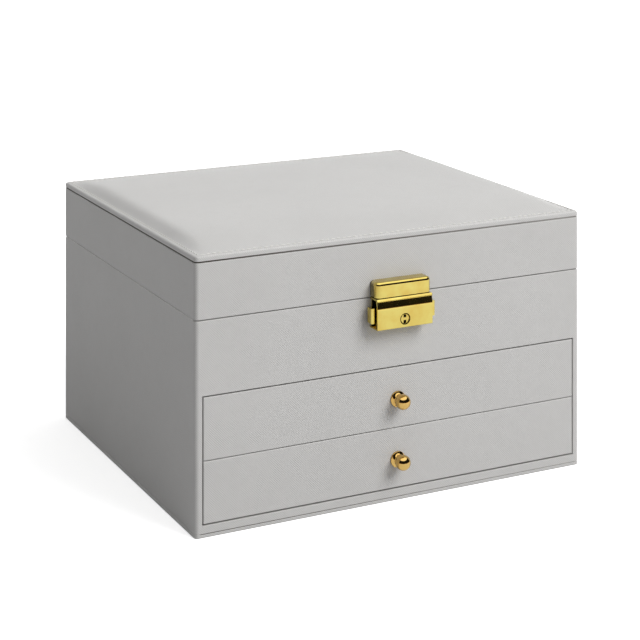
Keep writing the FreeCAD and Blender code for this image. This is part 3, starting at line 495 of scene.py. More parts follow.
def steel(name):
    material, tree, shader = new_material(name)
    place = object_place(tree)
    spots = noise_of(tree, place, 900.0, 3.0)
    feed(tree, shader, {
        "Base Color": mix_colour(tree, spots, (0.55, 0.53, 0.50, 1.0), (0.72, 0.71, 0.69, 1.0)),
        "Metallic": 1.0,
        "Roughness": ramp(tree, spots, 0.3, 0.7, 0.22, 0.4),
        "Normal": bump(tree, spots, 0.1, 0.02 * MM)})
    return material


def velvet(name, colour):
    """Short pile: soft sheen, brushed patches and fine fibres."""
    material, tree, shader = new_material(name)
    place = object_place(tree)
    brushed = noise_of(tree, place, 45.0, 3.0, 0.6)
    fibres = noise_of(tree, place, 3800.0, 2.0, 0.8)
    share = weighted(tree, ramp(tree, brushed, 0.35, 0.65), 0.6, ramp(tree, fibres, 0.3, 0.7), 0.4)
    feed(tree, shader, {
        "Base Color": mix_colour(tree, share, opaque(colour, 0.78), opaque(colour, 1.10)),
        "Roughness": 0.95,
        "Specular IOR Level": 0.1,
        "Sheen Weight": 0.45,
        "Sheen Roughness": 0.35,
        "Normal": bump(tree, fibres, 0.5, 0.12 * MM, bump(tree, brushed, 0.25, 0.4 * MM))})
    return material


def board_paper(name, colour):
    """Board covered in plain matt paper with faint fibres."""
    material, tree, shader = new_material(name)
    place = object_place(tree)
    fibres = noise_of(tree, place, 700.0, 4.0, 0.65)
    blotches = noise_of(tree, place, 30.0)
    share = weighted(tree, fibres, 0.6, blotches, 0.4)
    feed(tree, shader, {
        "Base Color": mix_colour(tree, ramp(tree, share, 0.35, 0.65), opaque(colour, 0.85), opaque(colour)),
        "Roughness": 0.85,
        "Normal": bump(tree, fibres, 0.25, 0.08 * MM)})
    return material


def painted_seam_shade(name, left, right):
    """Painted shade for the seams: a dark gritty strip, darkest on the shaded left and paler towards the lit
    right.
    """
    material, tree, shader = new_material(name)
    place = object_place(tree)
    grit = noise_of(tree, place, 900.0, 3.0, 0.6)
    across = add(tree, "ShaderNodeSeparateXYZ", {0: place}).outputs[0]
    paler = ramp(tree, across, -0.13, 0.13)
    base = mix_colour(tree, paler, opaque(left), opaque(right))
    feed(tree, shader, {
        "Base Color": mix_colour(tree, ramp(tree, grit, 0.3, 0.7, 0.0, 0.3), base, BLACK),
        "Roughness": 0.8,
        "Normal": bump(tree, grit, 0.2, 0.05 * MM)})
    return material


def mirror_glass(name):
    material, tree, shader = new_material(name)
    place = object_place(tree)
    haze = noise_of(tree, place, 25.0, 3.0)
    feed(tree, shader, {
        "Base Color": mix_colour(tree, haze, (0.86, 0.88, 0.88, 1.0), (0.93, 0.94, 0.94, 1.0)),
        "Metallic": 1.0,
        "Roughness": ramp(tree, haze, 0.3, 0.8, 0.015, 0.05)})
    return material


def thread(name, colour):
    """Twisted sewing thread."""
    material, tree, shader = new_material(name)
    wave = {"Vector": object_place(tree), "Scale": 900.0, "Distortion": 2.0, "Detail": 1.0}
    twist = add(tree, "ShaderNodeTexWave", wave, bands_direction="DIAGONAL").outputs["Fac"]
    feed(tree, shader, {
        "Base Color": mix_colour(tree, twist, opaque(colour, 0.8), opaque(colour)),
        "Roughness": 0.6,
        "Sheen Weight": 0.2,
        "Normal": bump(tree, twist, 0.4, 0.05 * MM)})
    return material


LEATHER_COLOUR = (0.585, 0.578, 0.565)
LEATHER = leatherette("leatherette_grey", LEATHER_COLOUR)
BASE_LEATHER = leatherette("leatherette_base", tuple(c * 0.97 for c in LEATHER_COLOUR))
# Painted shade for the seams, darker on the shaded left than on the lit right.
SEAM_SHADE_MATERIAL = painted_seam_shade("painted_seam_shade", (0.07, 0.06, 0.05), (0.36, 0.35, 0.33))
# The bead's leatherette is 1.25 times paler: painted highlight, so that the seam under the lid reads as a
# light line.
BEAD_PAINTED_HIGHLIGHT_LEATHER = leatherette("leatherette_painted_highlight", tuple(c * 1.25 for c in LEATHER_COLOUR))
GOLD = plated_gold("plated_gold")
KNOB_GOLD = plated_gold("knob_gold", (0.66, 0.45, 0.15))
# Near-black gold for the key holes' walls and floors: painted shade.
KEY_HOLE_PAINTED_SHADE = plated_gold("key_hole_painted_shade", (0.05, 0.03, 0.02), 0.5)
STEEL = steel("plain_steel")
VELVET = velvet("cream_velvet", (0.66, 0.61, 0.53))
PAPER = board_paper("board_paper", (0.55, 0.54, 0.52))
MIRROR = mirror_glass("mirror_glass")
THREAD = thread("grey_thread", (0.76, 0.75, 0.72))

SLOT_MATERIALS = {
    "leatherette": LEATHER,
    "base_leatherette": BASE_LEATHER,
    "gold_metal": GOLD,
    "steel": STEEL,
    "velvet": VELVET,
    "foam": VELVET,
    "board": PAPER,
    "mirror_glass": MIRROR,
}


def paint_cad():
    """Gives every CAD node the material of its slot in the record."""
    for entry in frame["record"]["subparts"]:
        piece = frame["nodes"][entry["node"]]
        material = SLOT_MATERIALS[entry["material_slot"]]
        if not piece.material_slots:
            piece.data.materials.append(material)
        for slot in piece.material_slots:
            slot.material = material


# ==== padded top ====
def simulated_pad(low, high):
    """The foam pad swollen by cloth pressure: its heights on an even grid, 0 to 1."""
    half_x, half_y = high[0] - BORDER, high[1] - BORDER
    base = low[2]
    start_top = base + PAD_START * (high[2] - base)
    rings = []
    for inset, z in ((0.0, base - 3 * MM), (0.0, base), (2 * MM, base + 0.6 * (start_top - base)),
                     (8 * MM, start_top), (30 * MM, start_top), (70 * MM, start_top)):
        rings.append(level(rounded_loop(half_x - inset, half_y - inset, PAD_CORNER, PAD_COUNTS), z))
    form = placed("pad_form", plain_mesh("pad_form", *loft(rings)))
    remesh = form.modifiers.new("remesh", "REMESH")
    remesh.mode = "VOXEL"
    remesh.voxel_size = PAD_VOXEL
    bpy.context.view_layer.update()
    graph = bpy.context.evaluated_depsgraph_get()
    dense = bpy.data.meshes.new_from_object(form.evaluated_get(graph))
    cloth_piece = placed("pad_cloth", dense)
    pinned = cloth_piece.vertex_groups.new(name="pinned")
    rest = np.array([v.co for v in dense.vertices])
    free_x, free_y = half_x - PAD_HELD, half_y - PAD_HELD
    held = [index for index, (x, y, z) in enumerate(rest) if z < base or abs(x) > free_x or abs(y) > free_y]
    pinned.add(held, 1.0, "REPLACE")
    cloth = cloth_piece.modifiers.new("cloth", "CLOTH")
    cloth.settings.vertex_group_mass = "pinned"
    cloth.settings.use_pressure = True
    cloth.settings.uniform_pressure_force = PAD_PRESSURE
    cloth.settings.effector_weights.gravity = 0.0
    cloth.settings.quality = 5
    scene = bpy.context.scene
    for number in range(1, PAD_FRAMES + 1):
        scene.frame_set(number)
    graph = bpy.context.evaluated_depsgraph_get()
    swollen = np.array([v.co for v in cloth_piece.evaluated_get(graph).data.vertices])
    shift = np.clip(swollen - rest, -PAD_MOST_SHIFT, PAD_MOST_SHIFT)
    polygons = [tuple(p.vertices) for p in dense.polygons]
    tree = BVHTree.FromPolygons([tuple(p) for p in rest + shift], polygons)
    scene.frame_set(1)
    for piece in (form, cloth_piece):
        bpy.data.objects.remove(piece)
    heights = np.array([[drop_height(tree, x, y) for x in np.linspace(-half_x, half_x, PAD_GRID[0])]
                        for y in np.linspace(-half_y, half_y, PAD_GRID[1])])
    for _ in range(PAD_SMOOTHING):
        wide = np.pad(heights, 1, mode="edge")
        beside = wide[:-2, 1:-1] + wide[2:, 1:-1] + wide[1:-1, :-2] + wide[1:-1, 2:]
        heights = (beside + 4 * heights) / 8
    return (heights - heights.min()) / (heights.max() - heights.min())


def crown_share(places, half_x, half_y, swollen):
    """How far each place is up the crown, 0 at the stitch line and 1 at the top."""
    side = np.clip((half_x - np.abs(places[:, 0])) / SIDE_REACH, 0, 1)
    front = np.clip((half_y - np.abs(places[:, 1])) / FRONT_REACH, 0, 1)
    shoulder = 1 - (1 - side) ** 4 * (1 + SHOULDER_START * side)
    plain = shoulder * (1 - (1 - front) ** FRONT_FULLNESS)
    if swollen is None:
        return plain
    across = (places[:, 0] / half_x + 1) / 2 * (PAD_GRID[0] - 1)
    along = (places[:, 1] / half_y + 1) / 2 * (PAD_GRID[1] - 1)
    column = np.clip(across.astype(int), 0, PAD_GRID[0] - 2)
    row = np.clip(along.astype(int), 0, PAD_GRID[1] - 2)
    right, up = across - column, along - row
    near = swollen[row, column] * (1 - right) + swollen[row, column + 1] * right
    far = swollen[row + 1, column] * (1 - right) + swollen[row + 1, column + 1] * right
    return plain * (1 - PAD_SWELL + PAD_SWELL * (near * (1 - up) + far * up))


def drop_height(tree, x, y):
    """The height at which a ray from above meets the surface."""
    hit = tree.ray_cast(Vector((x, y, 1.0)), Vector((0, 0, -1)))[0]
    return hit.z if hit else 0.0


def border_height():
    """The top of the flat border round the crown."""
    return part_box("top_foam")[0][2] + LEATHER_THICKNESS + BORDER_RISE


def padded_top():
    """Stitched leatherette over the foam: turned edge, flat border, stitch groove and crown."""
    low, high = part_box("top_cover")
    border_z = border_height()
    rise = high[2] - border_z + CROWN_OVER
    swollen = simulated_pad((0, 0, border_z), high)
    rings = []
    for inset, z in edge_profile(low[2], border_z):
        radius = max(EDGE_CORNER - 0.25 * inset, EDGE_CORNER_LEAST)
        rings.append(level(rounded_loop(high[0] - inset, high[1] - inset, radius, TOP_COUNTS), z))
    half_x, half_y = high[0] - BORDER, high[1] - BORDER
    stitch_line = rounded_loop(half_x, half_y, STITCH_CORNER, TOP_COUNTS)
    step = np.linalg.norm(np.roll(stitch_line, -1, 0) - stitch_line, axis=1)
    travelled = np.concatenate([[0], np.cumsum(step)[:-1]])
    phase = 2 * math.pi * travelled / stitch_pitch(step.sum())
    crown_places = []
    for inset in CROWN_INSETS:
        radius = STITCH_CORNER + CROWN_CORNER_GROWTH * inset
        crown_places.append(rounded_loop(half_x - inset, half_y - inset, radius, TOP_COUNTS))
    shares = crown_share(np.concatenate(crown_places), half_x, half_y, swollen)
    for inset, flat, share in zip(CROWN_INSETS, crown_places, shares.reshape(len(CROWN_INSETS), -1)):
        groove = GROOVE_DEPTH * math.exp(-(inset / GROOVE_HALF) ** 2)
        pucker = PUCKER * np.cos(phase) * math.exp(-inset / PUCKER_REACH) * (1 - math.exp(-inset / MM))
        wander = np.array([uneven((x, y, 0.0), CROWN_WANDER, CROWN_WANDER_SCALE) for x, y in flat])
        z = border_z - groove + rise * share + pucker + wander * min(1.0, inset / CROWN_WANDER_START)
        rings.append(level(flat, np.minimum(z, high[2] + 1.6 * CROWN_OVER)))
    piece = mesh_object("padded_top", loft(rings), LEATHER, "lid")
    stand_for(piece, ["top_cover", "top_foam"])


def edge_profile(bottom, border_z):
    """(inset, z) from under the turned edge, round it and across the border to the groove's middle."""
    steps = [(inset, bottom + EDGE_GAP + rise) for inset, rise in EDGE_TUCK]
    steps += arc(EDGE_ROUND, border_z - EDGE_ROUND, EDGE_ROUND, 180, 90, 9)
    for share in np.linspace(0.15, 1.0, 10):
        inset = EDGE_ROUND + share * (BORDER - EDGE_ROUND)
        puff = BORDER_PUFF * math.sin(math.pi * share)
        groove = GROOVE_DEPTH * math.exp(-((BORDER - inset) / GROOVE_HALF) ** 2)
        steps.append((inset, border_z + puff - groove))
    return steps


def stitch_pitch(length):
    """The pitch nearest the wanted one that fits the whole line."""
    return length / round(length / STITCH_PITCH)


def loop_walk(half_x, half_y, radius):
    """(place, direction) at each stitch round a rounded rectangle."""
    dense = rounded_loop(half_x, half_y, radius, (400, 400, 24))
    following = np.roll(dense, -1, 0)
    lengths = np.linalg.norm(following - dense, axis=1)
    reached = np.concatenate([[0], np.cumsum(lengths)])
    spacing = stitch_pitch(reached[-1])
    for distance in np.arange(0, reached[-1] - spacing / 2, spacing):
        index = int(np.searchsorted(reached, distance, side="right")) - 1
        length = max(lengths[index], SHORTEST)
        share = (distance - reached[index]) / length
        place = dense[index] * (1 - share) + following[index] * share
        yield place, (following[index] - dense[index]) / length


def stitch(place, direction, z):
    """One stitch: a short thread that rises from one hole and dips into the next."""
    sideways = np.array([-direction[1], direction[0]])
    sides, slices = 8, 9
    rings = []
    for share in np.linspace(-1, 1, slices):
        centre = place + direction * share * STITCH_LENGTH / 2
        lift = z + THREAD_RADIUS * 0.75 * (1 - abs(share) ** 3) - THREAD_RADIUS * 0.9 * abs(share) ** 6
        radius = THREAD_RADIUS * (1 - 0.35 * abs(share) ** 4)
        ring = []
        for angle in np.linspace(0, 2 * math.pi, sides, endpoint=False):
            flat = centre + sideways * radius * math.cos(angle)
            ring.append((flat[0], flat[1], lift + radius * math.sin(angle)))
        rings.append(np.array(ring))
    return loft(rings)


def top_stitching():
    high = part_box("top_cover")[1]
    z = border_height() - GROOVE_DEPTH * STITCH_SINK
    walk = loop_walk(high[0] - BORDER, high[1] - BORDER, STITCH_CORNER)
    stitches = joined([stitch(place, direction, z) for place, direction in walk])
    mesh_object("top_stitching", stitches, THREAD, "lid", SOFT_ANGLE)


def band_in_seam(name, rings, material, body, smooth_angle):
    """A band round the chest that stands for no CAD node, from rings of which the last is the first."""
    piece = mesh_object(name, loft(rings, False, False), material, body, smooth_angle)
    weld(piece)


def seam_shade_strip(name, body, bottom, top, insets):
    """A square ring of painted shade: a dark strip set into a seam round the chest."""
    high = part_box("top_cover")[1]
    side, front = insets
    rings = []
    for depth, z in ((SEAM_SHADE_DEPTH, bottom), (0, bottom), (0, top), (SEAM_SHADE_DEPTH, top), (SEAM_SHADE_DEPTH, bottom)):
        half_x, half_y = high[0] - side - depth, high[1] - front - depth
        rings.append(level(rounded_loop(half_x, half_y, EDGE_CORNER - front, SEAM_COUNTS), z))
    band_in_seam(name, rings, SEAM_SHADE_MATERIAL, body, CRISP_ANGLE)


def rim_bead():
    """The turned leatherette in the seam under the lid, made paler as painted highlight."""
    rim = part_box("case_cover")[1]
    middle_z = (rim[2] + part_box("lid_cover")[0][2]) / 2
    half_x, half_y = rim[0] - BEAD_SET_BACK[0], rim[1] - BEAD_SET_BACK[1]
    rings = []
    for out, z in arc(0.0, middle_z, BEAD_RADIUS, 0, 360, 13):
        rings.append(level(rounded_loop(half_x + out, half_y + out, EDGE_CORNER, SEAM_COUNTS), z))
    band_in_seam("rim_bead", rings, BEAD_PAINTED_HIGHLIGHT_LEATHER, "case", SOFT_ANGLE)


# ==== soft inside ====
def velvet_tray(name, node, body, wall, floor, corner, upside_down=False):
    """A lining with a floor and soft walls that keeps inside the box of its CAD node."""
    low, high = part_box(node)
    centre, (half_x, half_y, half_z) = middle_and_half(low, high)
    height = 2 * half_z
    lip = wall / 2
    profile = [(0.0, 0.0), (0.0, height * 0.5), (0.0, height - lip)]
    profile += arc(lip, height - lip, lip, 160, 20, 8)
    for share in np.linspace(0.06, 0.94, 14):
        profile.append((wall, height - lip - share * (height - lip - floor - LINING_BEND)))
    profile += arc(wall + LINING_BEND, floor + LINING_BEND, LINING_BEND, 180, 270, 6)
    widest = half_y - wall - LINING_BEND
    for share in (0.03, 0.1, 0.2, 0.35, 0.5, 0.65, 0.8, 0.95, 0.995):
        profile.append((wall + LINING_BEND + share * widest, floor))
    rings = []
    for inset, z in profile:
        radius = max(corner - inset * 0.5, LINING_CORNER_LEAST)
        inside = inset >= wall * 0.99
        on_floor = inside and z <= floor * 1.01
        ring = []
        for x, y in rounded_loop(half_x - inset, half_y - inset, radius, LINING_COUNTS):
            puff = uneven((x, y, z), LINING_PUFF, LINING_PUFF_SCALE) if inside else 0.0
            shrink = 1 - max(0.0, 0.5 * puff) / half_y
            rise = z + puff if on_floor else z
            up = height - rise if upside_down else rise
            ring.append((centre[0] + x * shrink, centre[1] + y * shrink, low[2] + up))
        rings.append(np.array(ring))
    points, faces = loft(rings)
    if upside_down:
        faces = [tuple(reversed(face)) for face in faces]
    stand_for(mesh_object(name, (points, faces), VELVET, body), [node])


def soft_block(low, high, round_size):
    """Points and faces of a box with generously rounded upper edges."""
    centre, (half_x, half_y, half_z) = middle_and_half(low, high)
    height = 2 * half_z
    profile = [(0.0, share * (height - round_size)) for share in (0.0, 0.25, 0.5, 0.75, 0.95)]
    profile += arc(round_size, height - round_size, round_size, 180, 100, 6)
    rings = []
    for inset, z in profile:
        flat = rounded_loop(half_x - inset, half_y - inset, round_size * 0.8, WALL_COUNTS)
        rings.append(level(flat + centre[:2], low[2] + z))
    return loft(rings)


def joined(shapes):
    """Several (points, faces) as one."""
    points, faces, offset = [], [], 0
    for made, sides in shapes:
        points.append(made)
        faces.extend(tuple(index + offset for index in side) for side in sides)
        offset += len(made)
    return np.concatenate(points), faces


def velvet_walls(name, node, body):
    """Velvet-covered card walls in place of a CAD node's plain boxes."""
    walls = joined([soft_block(low, high, WALL_ROUND) for low, high in solid_boxes(node)])
    stand_for(mesh_object(name, walls, VELVET, body), [node])


def roll_shape(low, high, seed):
    """One ring roll: a plump half-round bolster with gathered ends."""
    centre, (half_x, half_y, half_z) = middle_and_half(low, high)
    length = 2 * half_x
    rings = []
    for share in np.linspace(0, 1, ROLL_SLICES):
        end = min(share, 1 - share) * length
        swell = ROLL_END + (1 - ROLL_END) * math.sin(min(1.0, end / ROLL_TAPER) * math.pi / 2)
        ring = []
        for angle in np.linspace(0, 2 * math.pi, ROLL_SIDES, endpoint=False):
            y = math.copysign(abs(math.cos(angle)) ** ROLL_SQUARENESS, math.cos(angle))
            z = math.copysign(abs(math.sin(angle)) ** ROLL_SQUARENESS, math.sin(angle))
            gathers = math.sin(ROLL_GATHERS * angle + seed) * math.exp(-end / ROLL_GATHER_REACH)
            crease = 1 - ROLL_GATHER_DEPTH * gathers
            place = (share * length * ROLL_WOBBLE_SCALE, y + seed, z)
            wobble = 1 + ROLL_WOBBLE * noise.noise(Vector(place))
            size = min(swell * crease * wobble, 1.0)
            ring.append((low[0] + share * length, centre[1] + half_y * size * y,
                         centre[2] + half_z * size * z))
        rings.append(np.array(ring))
    return loft(rings)


def ring_rolls():
    boxes = solid_boxes("ring_rolls")
    rolls = joined([roll_shape(*box, number * ROLL_SEED_STEP) for number, box in enumerate(boxes)])
    piece = mesh_object("velvet_ring_rolls", rolls, VELVET, "case", ROLL_ANGLE)
    stand_for(piece, ["ring_rolls"])


def padded_mirror_frame():
    """Padded velvet border round the mirror."""
    low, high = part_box("mirror_frame")
    mirror_low, mirror_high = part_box("mirror")
    width = high[0] - (mirror_high[0] - FRAME_LAP)
    height = high[2] - low[2]

    def outline(inset):
        return rounded_loop(high[0] - inset, high[1] - inset, FRAME_CORNER, FRAME_COUNTS)

    rings = []
    for share in np.linspace(0, 1, 15):
        bulge = math.sin(math.pi * share) ** FRAME_FULLNESS if 0 < share < 1 else 0.0
        z = high[2] - height * (FRAME_EDGE + (1 - FRAME_EDGE) * bulge)
        flat = outline(share * width)
        ripple = [uneven((x, y, 0.3), FRAME_RIPPLE, FRAME_RIPPLE_SCALE) for x, y in flat]
        rings.append(level(flat, z + np.maximum(ripple, 0.0)))
    seat = mirror_low[2] - MIRROR_SEAT_GAP
    rings += [level(outline(width), seat), level(outline(0.0), seat)]
    points, faces = loft(rings + rings[:1], False, False)
    faces = [tuple(reversed(face)) for face in faces]
    piece = mesh_object("padded_mirror_frame", (points, faces), VELVET, "lid")
    weld(piece)
    stand_for(piece, ["mirror_frame"])


def weld(piece):
    """Joins points that lie in the same place."""
    work = bmesh.new()
    work.from_mesh(piece.data)
    bmesh.ops.remove_doubles(work, verts=work.verts, dist=WELD_DISTANCE)
    work.to_mesh(piece.data)
    work.free()


# ==== lock and knobs ====
def carved(shape, tools, bevel=METAL_BEVEL, crisp=False):
    """A mesh with the tools' shapes cut out, bevelled or crisp edges, and faces that look flat."""
    made = []
    for number, (corners, sides) in enumerate([shape, *tools]):
        mesh = plain_mesh(f"carving_{number}", corners, sides)
        mesh.shade_smooth()
        made.append(placed(mesh.name, mesh))
    piece = made[0]
    for tool in made[1:]:
        cut = piece.modifiers.new("cut", "BOOLEAN")
        cut.operation = "DIFFERENCE"
        cut.solver = "EXACT"
        cut.object = tool
    if bevel:
        rounding = piece.modifiers.new("rounding", "BEVEL")
        rounding.width = bevel
        rounding.segments = 3
        rounding.limit_method = "ANGLE"
        rounding.angle_limit = math.radians(BEVEL_ANGLE)
    if not crisp:
        piece.modifiers.new("normals", "WEIGHTED_NORMAL")
    bpy.context.view_layer.update()
    graph = bpy.context.evaluated_depsgraph_get()
    result = bpy.data.meshes.new_from_object(piece.evaluated_get(graph), depsgraph=graph)
    for item in made:
        bpy.data.objects.remove(item)
    if crisp:
        result.set_sharp_from_angle(angle=math.radians(CRISP_ANGLE))
    return result


def box_shape(low, high):
    """Points and faces of a cutting box."""
    corners = [(x, y, z) for z in (low[2], high[2]) for x, y in
               ((low[0], low[1]), (high[0], low[1]), (high[0], high[1]), (low[0], high[1]))]
    return loft([np.array(corners[:4]), np.array(corners[4:])])


def ring_along_y(x, z, radius, y):
    """A circle about an axis that runs along Y."""
    angles = np.linspace(0, 2 * math.pi, TURNED_SLICES, endpoint=False)
    across, up = x + radius * np.cos(angles), z + radius * np.sin(angles)
    return np.column_stack([across, np.full(len(angles), y), up])


def lock_section(face, back, bottom, top):
    """The lock shell's (y, z) outline: outside from the lower back edge over the lip, then inside."""
    outline = [(back, bottom)]
    outline += arc(face + LOCK_EDGE_ROUND, bottom + LOCK_EDGE_ROUND, LOCK_EDGE_ROUND, 270, 180, 7)
    bend_z = bottom + LOCK_BAND_BOTTOM
    outline += arc(face + LOCK_BEND_RADIUS, bend_z, LOCK_BEND_RADIUS, 180, 180 - LOCK_BAND_LEAN, 7)
    bend_end = outline[-1]
    band_z = bottom + LOCK_BAND_TOP
    band_y = bend_end[0] + (band_z - bend_end[1]) * math.tan(math.radians(LOCK_BAND_LEAN))
    outline.append((band_y, band_z))
    lip_y = face + LOCK_LIP_SET_BACK
    outline += [(lip_y, top - LOCK_LIP_HEIGHT), (lip_y + LOCK_LIP_RUN, top)]
    outline.append((back, top))
    inside = [(back, top - LOCK_WALL), (band_y + LOCK_WALL, top - LOCK_WALL), (band_y + LOCK_WALL, band_z),
              (face + LOCK_WALL, bend_z), (face + LOCK_WALL, bottom + LOCK_WALL), (back, bottom + LOCK_WALL)]
    return outline + inside


def lock_shell():
    """The lock's formed front with its bright lip, hollow band, key bore and tongue slot."""
    low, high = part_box("lock_body")
    section = lock_section(low[1], high[1], low[2], high[2])
    rings = [np.array([(x, y, z) for y, z in section]) for x in (high[0], low[0])]
    middle_z = middle_and_half(*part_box("lock_plug"))[0][2]
    depths = (low[1] + 2 * LOCK_WALL, low[1] - LOCK_WALL)
    bore = loft([ring_along_y(0.0, middle_z, PLUG_BORE, y) for y in depths])
    half, slot_front, slot_back = TONGUE_SLOT
    slot = box_shape((-half, high[1] + slot_front, high[2] - 2 * LOCK_WALL),
                     (half, high[1] + slot_back, high[2] + LOCK_WALL))
    mesh = carved(loft(rings), [bore, slot])
    stand_for(riding("lock_shell", mesh, GOLD, "case"), ["lock_body"])


def hasp_loop(low, high, inset, z):
    """Outline of the hasp at one height: drawn in at the front and the sides, square at the back."""
    radius = max(HASP_CORNER - inset, METAL_BEVEL)
    left, right, front, back = low[0] + inset, high[0] - inset, low[1] + inset, high[1]
    places = [(right, back), (left, back)]
    for centre_x, start in ((left + radius, 180), (right - radius, 270)):
        places += arc(centre_x, front + radius, radius, start, start + 90, 9)
    return np.array([(x, y, z) for x, y in places])


def hasp_cap():
    """The lid's half of the lock: a solid cap with rounded corners and a pocket underneath."""
    low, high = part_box("lock_hasp")
    profile = arc(HASP_BOTTOM_ROUND, low[2] + HASP_BOTTOM_ROUND, HASP_BOTTOM_ROUND, 270, 180, 5)
    profile += arc(HASP_TOP_ROUND, high[2] - HASP_TOP_ROUND, HASP_TOP_ROUND, 180, 90, 13)
    cap = loft([hasp_loop(low, high, inset, z) for inset, z in profile])
    pocket = box_shape((-HASP_POCKET, low[1] + LOCK_WALL, low[2] - LOCK_WALL),
                       (HASP_POCKET, high[1] + LOCK_WALL, high[2] - HASP_ROOF))
    mesh = carved(cap, [pocket], bevel=0)
    stand_for(riding("hasp_cap", mesh, GOLD, "lid"), ["lock_hasp"])


def knob_profile(flange, length):
    """(radius, distance from the drawer) from the flange's foot over the neck to the ball's pole."""
    profile = [(flange - KNOB_FLANGE_ROUND / 2, 0.0), (flange, KNOB_FLANGE_ROUND / 2), (flange, KNOB_FLANGE)]
    profile += arc(flange - KNOB_FLANGE_ROUND, KNOB_FLANGE, KNOB_FLANGE_ROUND, 15, 90, 6)
    ball_middle = length - KNOB_BALL_RADIUS
    neck_turn = math.asin(KNOB_NECK_RADIUS / KNOB_BALL_RADIUS)
    start, end = profile[-1], (KNOB_NECK_RADIUS, ball_middle - KNOB_BALL_RADIUS * math.cos(neck_turn))
    for share in np.linspace(0, 1, 14)[1:]:
        flare = (start[0] - end[0]) * (1 - share) ** 3
        profile.append((end[0] + flare, start[1] + share * (end[1] - start[1])))
    ball = arc(0.0, ball_middle, KNOB_BALL_RADIUS, math.degrees(neck_turn) - 90, KNOB_POLE, 40)
    return profile + ball[1:]


def turned_knob(name, node, body):
    low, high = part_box(node)
    centre, half = middle_and_half(low, high)
    profile = knob_profile(half[0], 2 * half[1])
    rings = [ring_along_y(centre[0], centre[2], radius, high[1] - distance) for radius, distance in profile]
    stand_for(mesh_object(name, loft(rings), KNOB_GOLD, body, KNOB_ANGLE), [node])


def key_plug():
    """Round plug with a dished face, a deep step round it and two square key holes."""
    low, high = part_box("lock_plug")
    centre, half = middle_and_half(low, high)
    middle_z, front = centre[2], low[1]
    profile = [(PLUG_FACE - PLUG_RIM, front + PLUG_DISH), (PLUG_FACE - 0.7 * PLUG_RIM, front),
               (PLUG_FACE - 0.3 * PLUG_RIM, front), (PLUG_FACE, front + 0.3 * PLUG_RIM),
               (PLUG_FACE, front + PLUG_STEP), (half[0], front + PLUG_STEP), (half[0], high[1])]
    rings = [ring_along_y(0.0, middle_z, radius, y) for radius, y in reversed(profile)]
    hole_heights = [middle_z + offset for offset in KEY_HOLES]
    holes = [box_shape((-KEY_HOLE_HALF, front - PLUG_RIM, z - KEY_HOLE_HALF),
                       (KEY_HOLE_HALF, front + KEY_HOLE_DEPTH, z + KEY_HOLE_HALF)) for z in hole_heights]
    mesh = carved(loft(rings), holes, bevel=0, crisp=True)
    piece = riding("key_plug", mesh, GOLD, "lock_plug")
    # The holes' walls and floors take a near-black metal: painted shade.
    mesh.materials.append(KEY_HOLE_PAINTED_SHADE)
    for polygon in mesh.polygons:
        x, y, z = polygon.center
        beside = min(abs(z - height) for height in hole_heights)
        in_hole = max(abs(x), beside) < KEY_HOLE_HALF * 1.01 and y > front + PLUG_DISH * 1.2
        polygon.material_index = int(in_hole)
    stand_for(piece, ["lock_plug"])


# ==== stage, light and camera ====
def stage_floor():
    """Pale floor: near white to the eye, with a weak bounce so that the sides keep their shade."""
    corners = [(x * FLOOR_HALF, y * FLOOR_HALF, 0) for x, y in ((-1, -1), (1, -1), (1, 1), (-1, 1))]
    floor = placed("studio_floor", plain_mesh("studio_floor", corners, [(0, 1, 2, 3)]))
    material, tree, shader = new_material("pale_floor")
    path = add(tree, "ShaderNodeLightPath").outputs
    mottle = noise_of(tree, object_place(tree), 3.0)
    seen = mix_colour(tree, mottle, (0.93, 0.93, 0.93, 1.0), (0.96, 0.96, 0.96, 1.0))
    bounced = (FLOOR_BOUNCE, FLOOR_BOUNCE, FLOOR_BOUNCE * 1.02, 1.0)
    feed(tree, shader, {
        "Base Color": mix_colour(tree, path["Is Diffuse Ray"], seen, bounced),
        "Roughness": 0.9,
        "Specular IOR Level": 0.1,
        "Emission Color": WHITE,
        "Emission Strength": calc(tree, "MULTIPLY", path["Is Camera Ray"], FLOOR_GLOW)})
    floor.data.materials.append(material)


def chosen(tree, share, first, second):
    """One shader or the other."""
    return add(tree, "ShaderNodeMixShader", {0: share, 1: first.outputs[0], 2: second.outputs[0]})


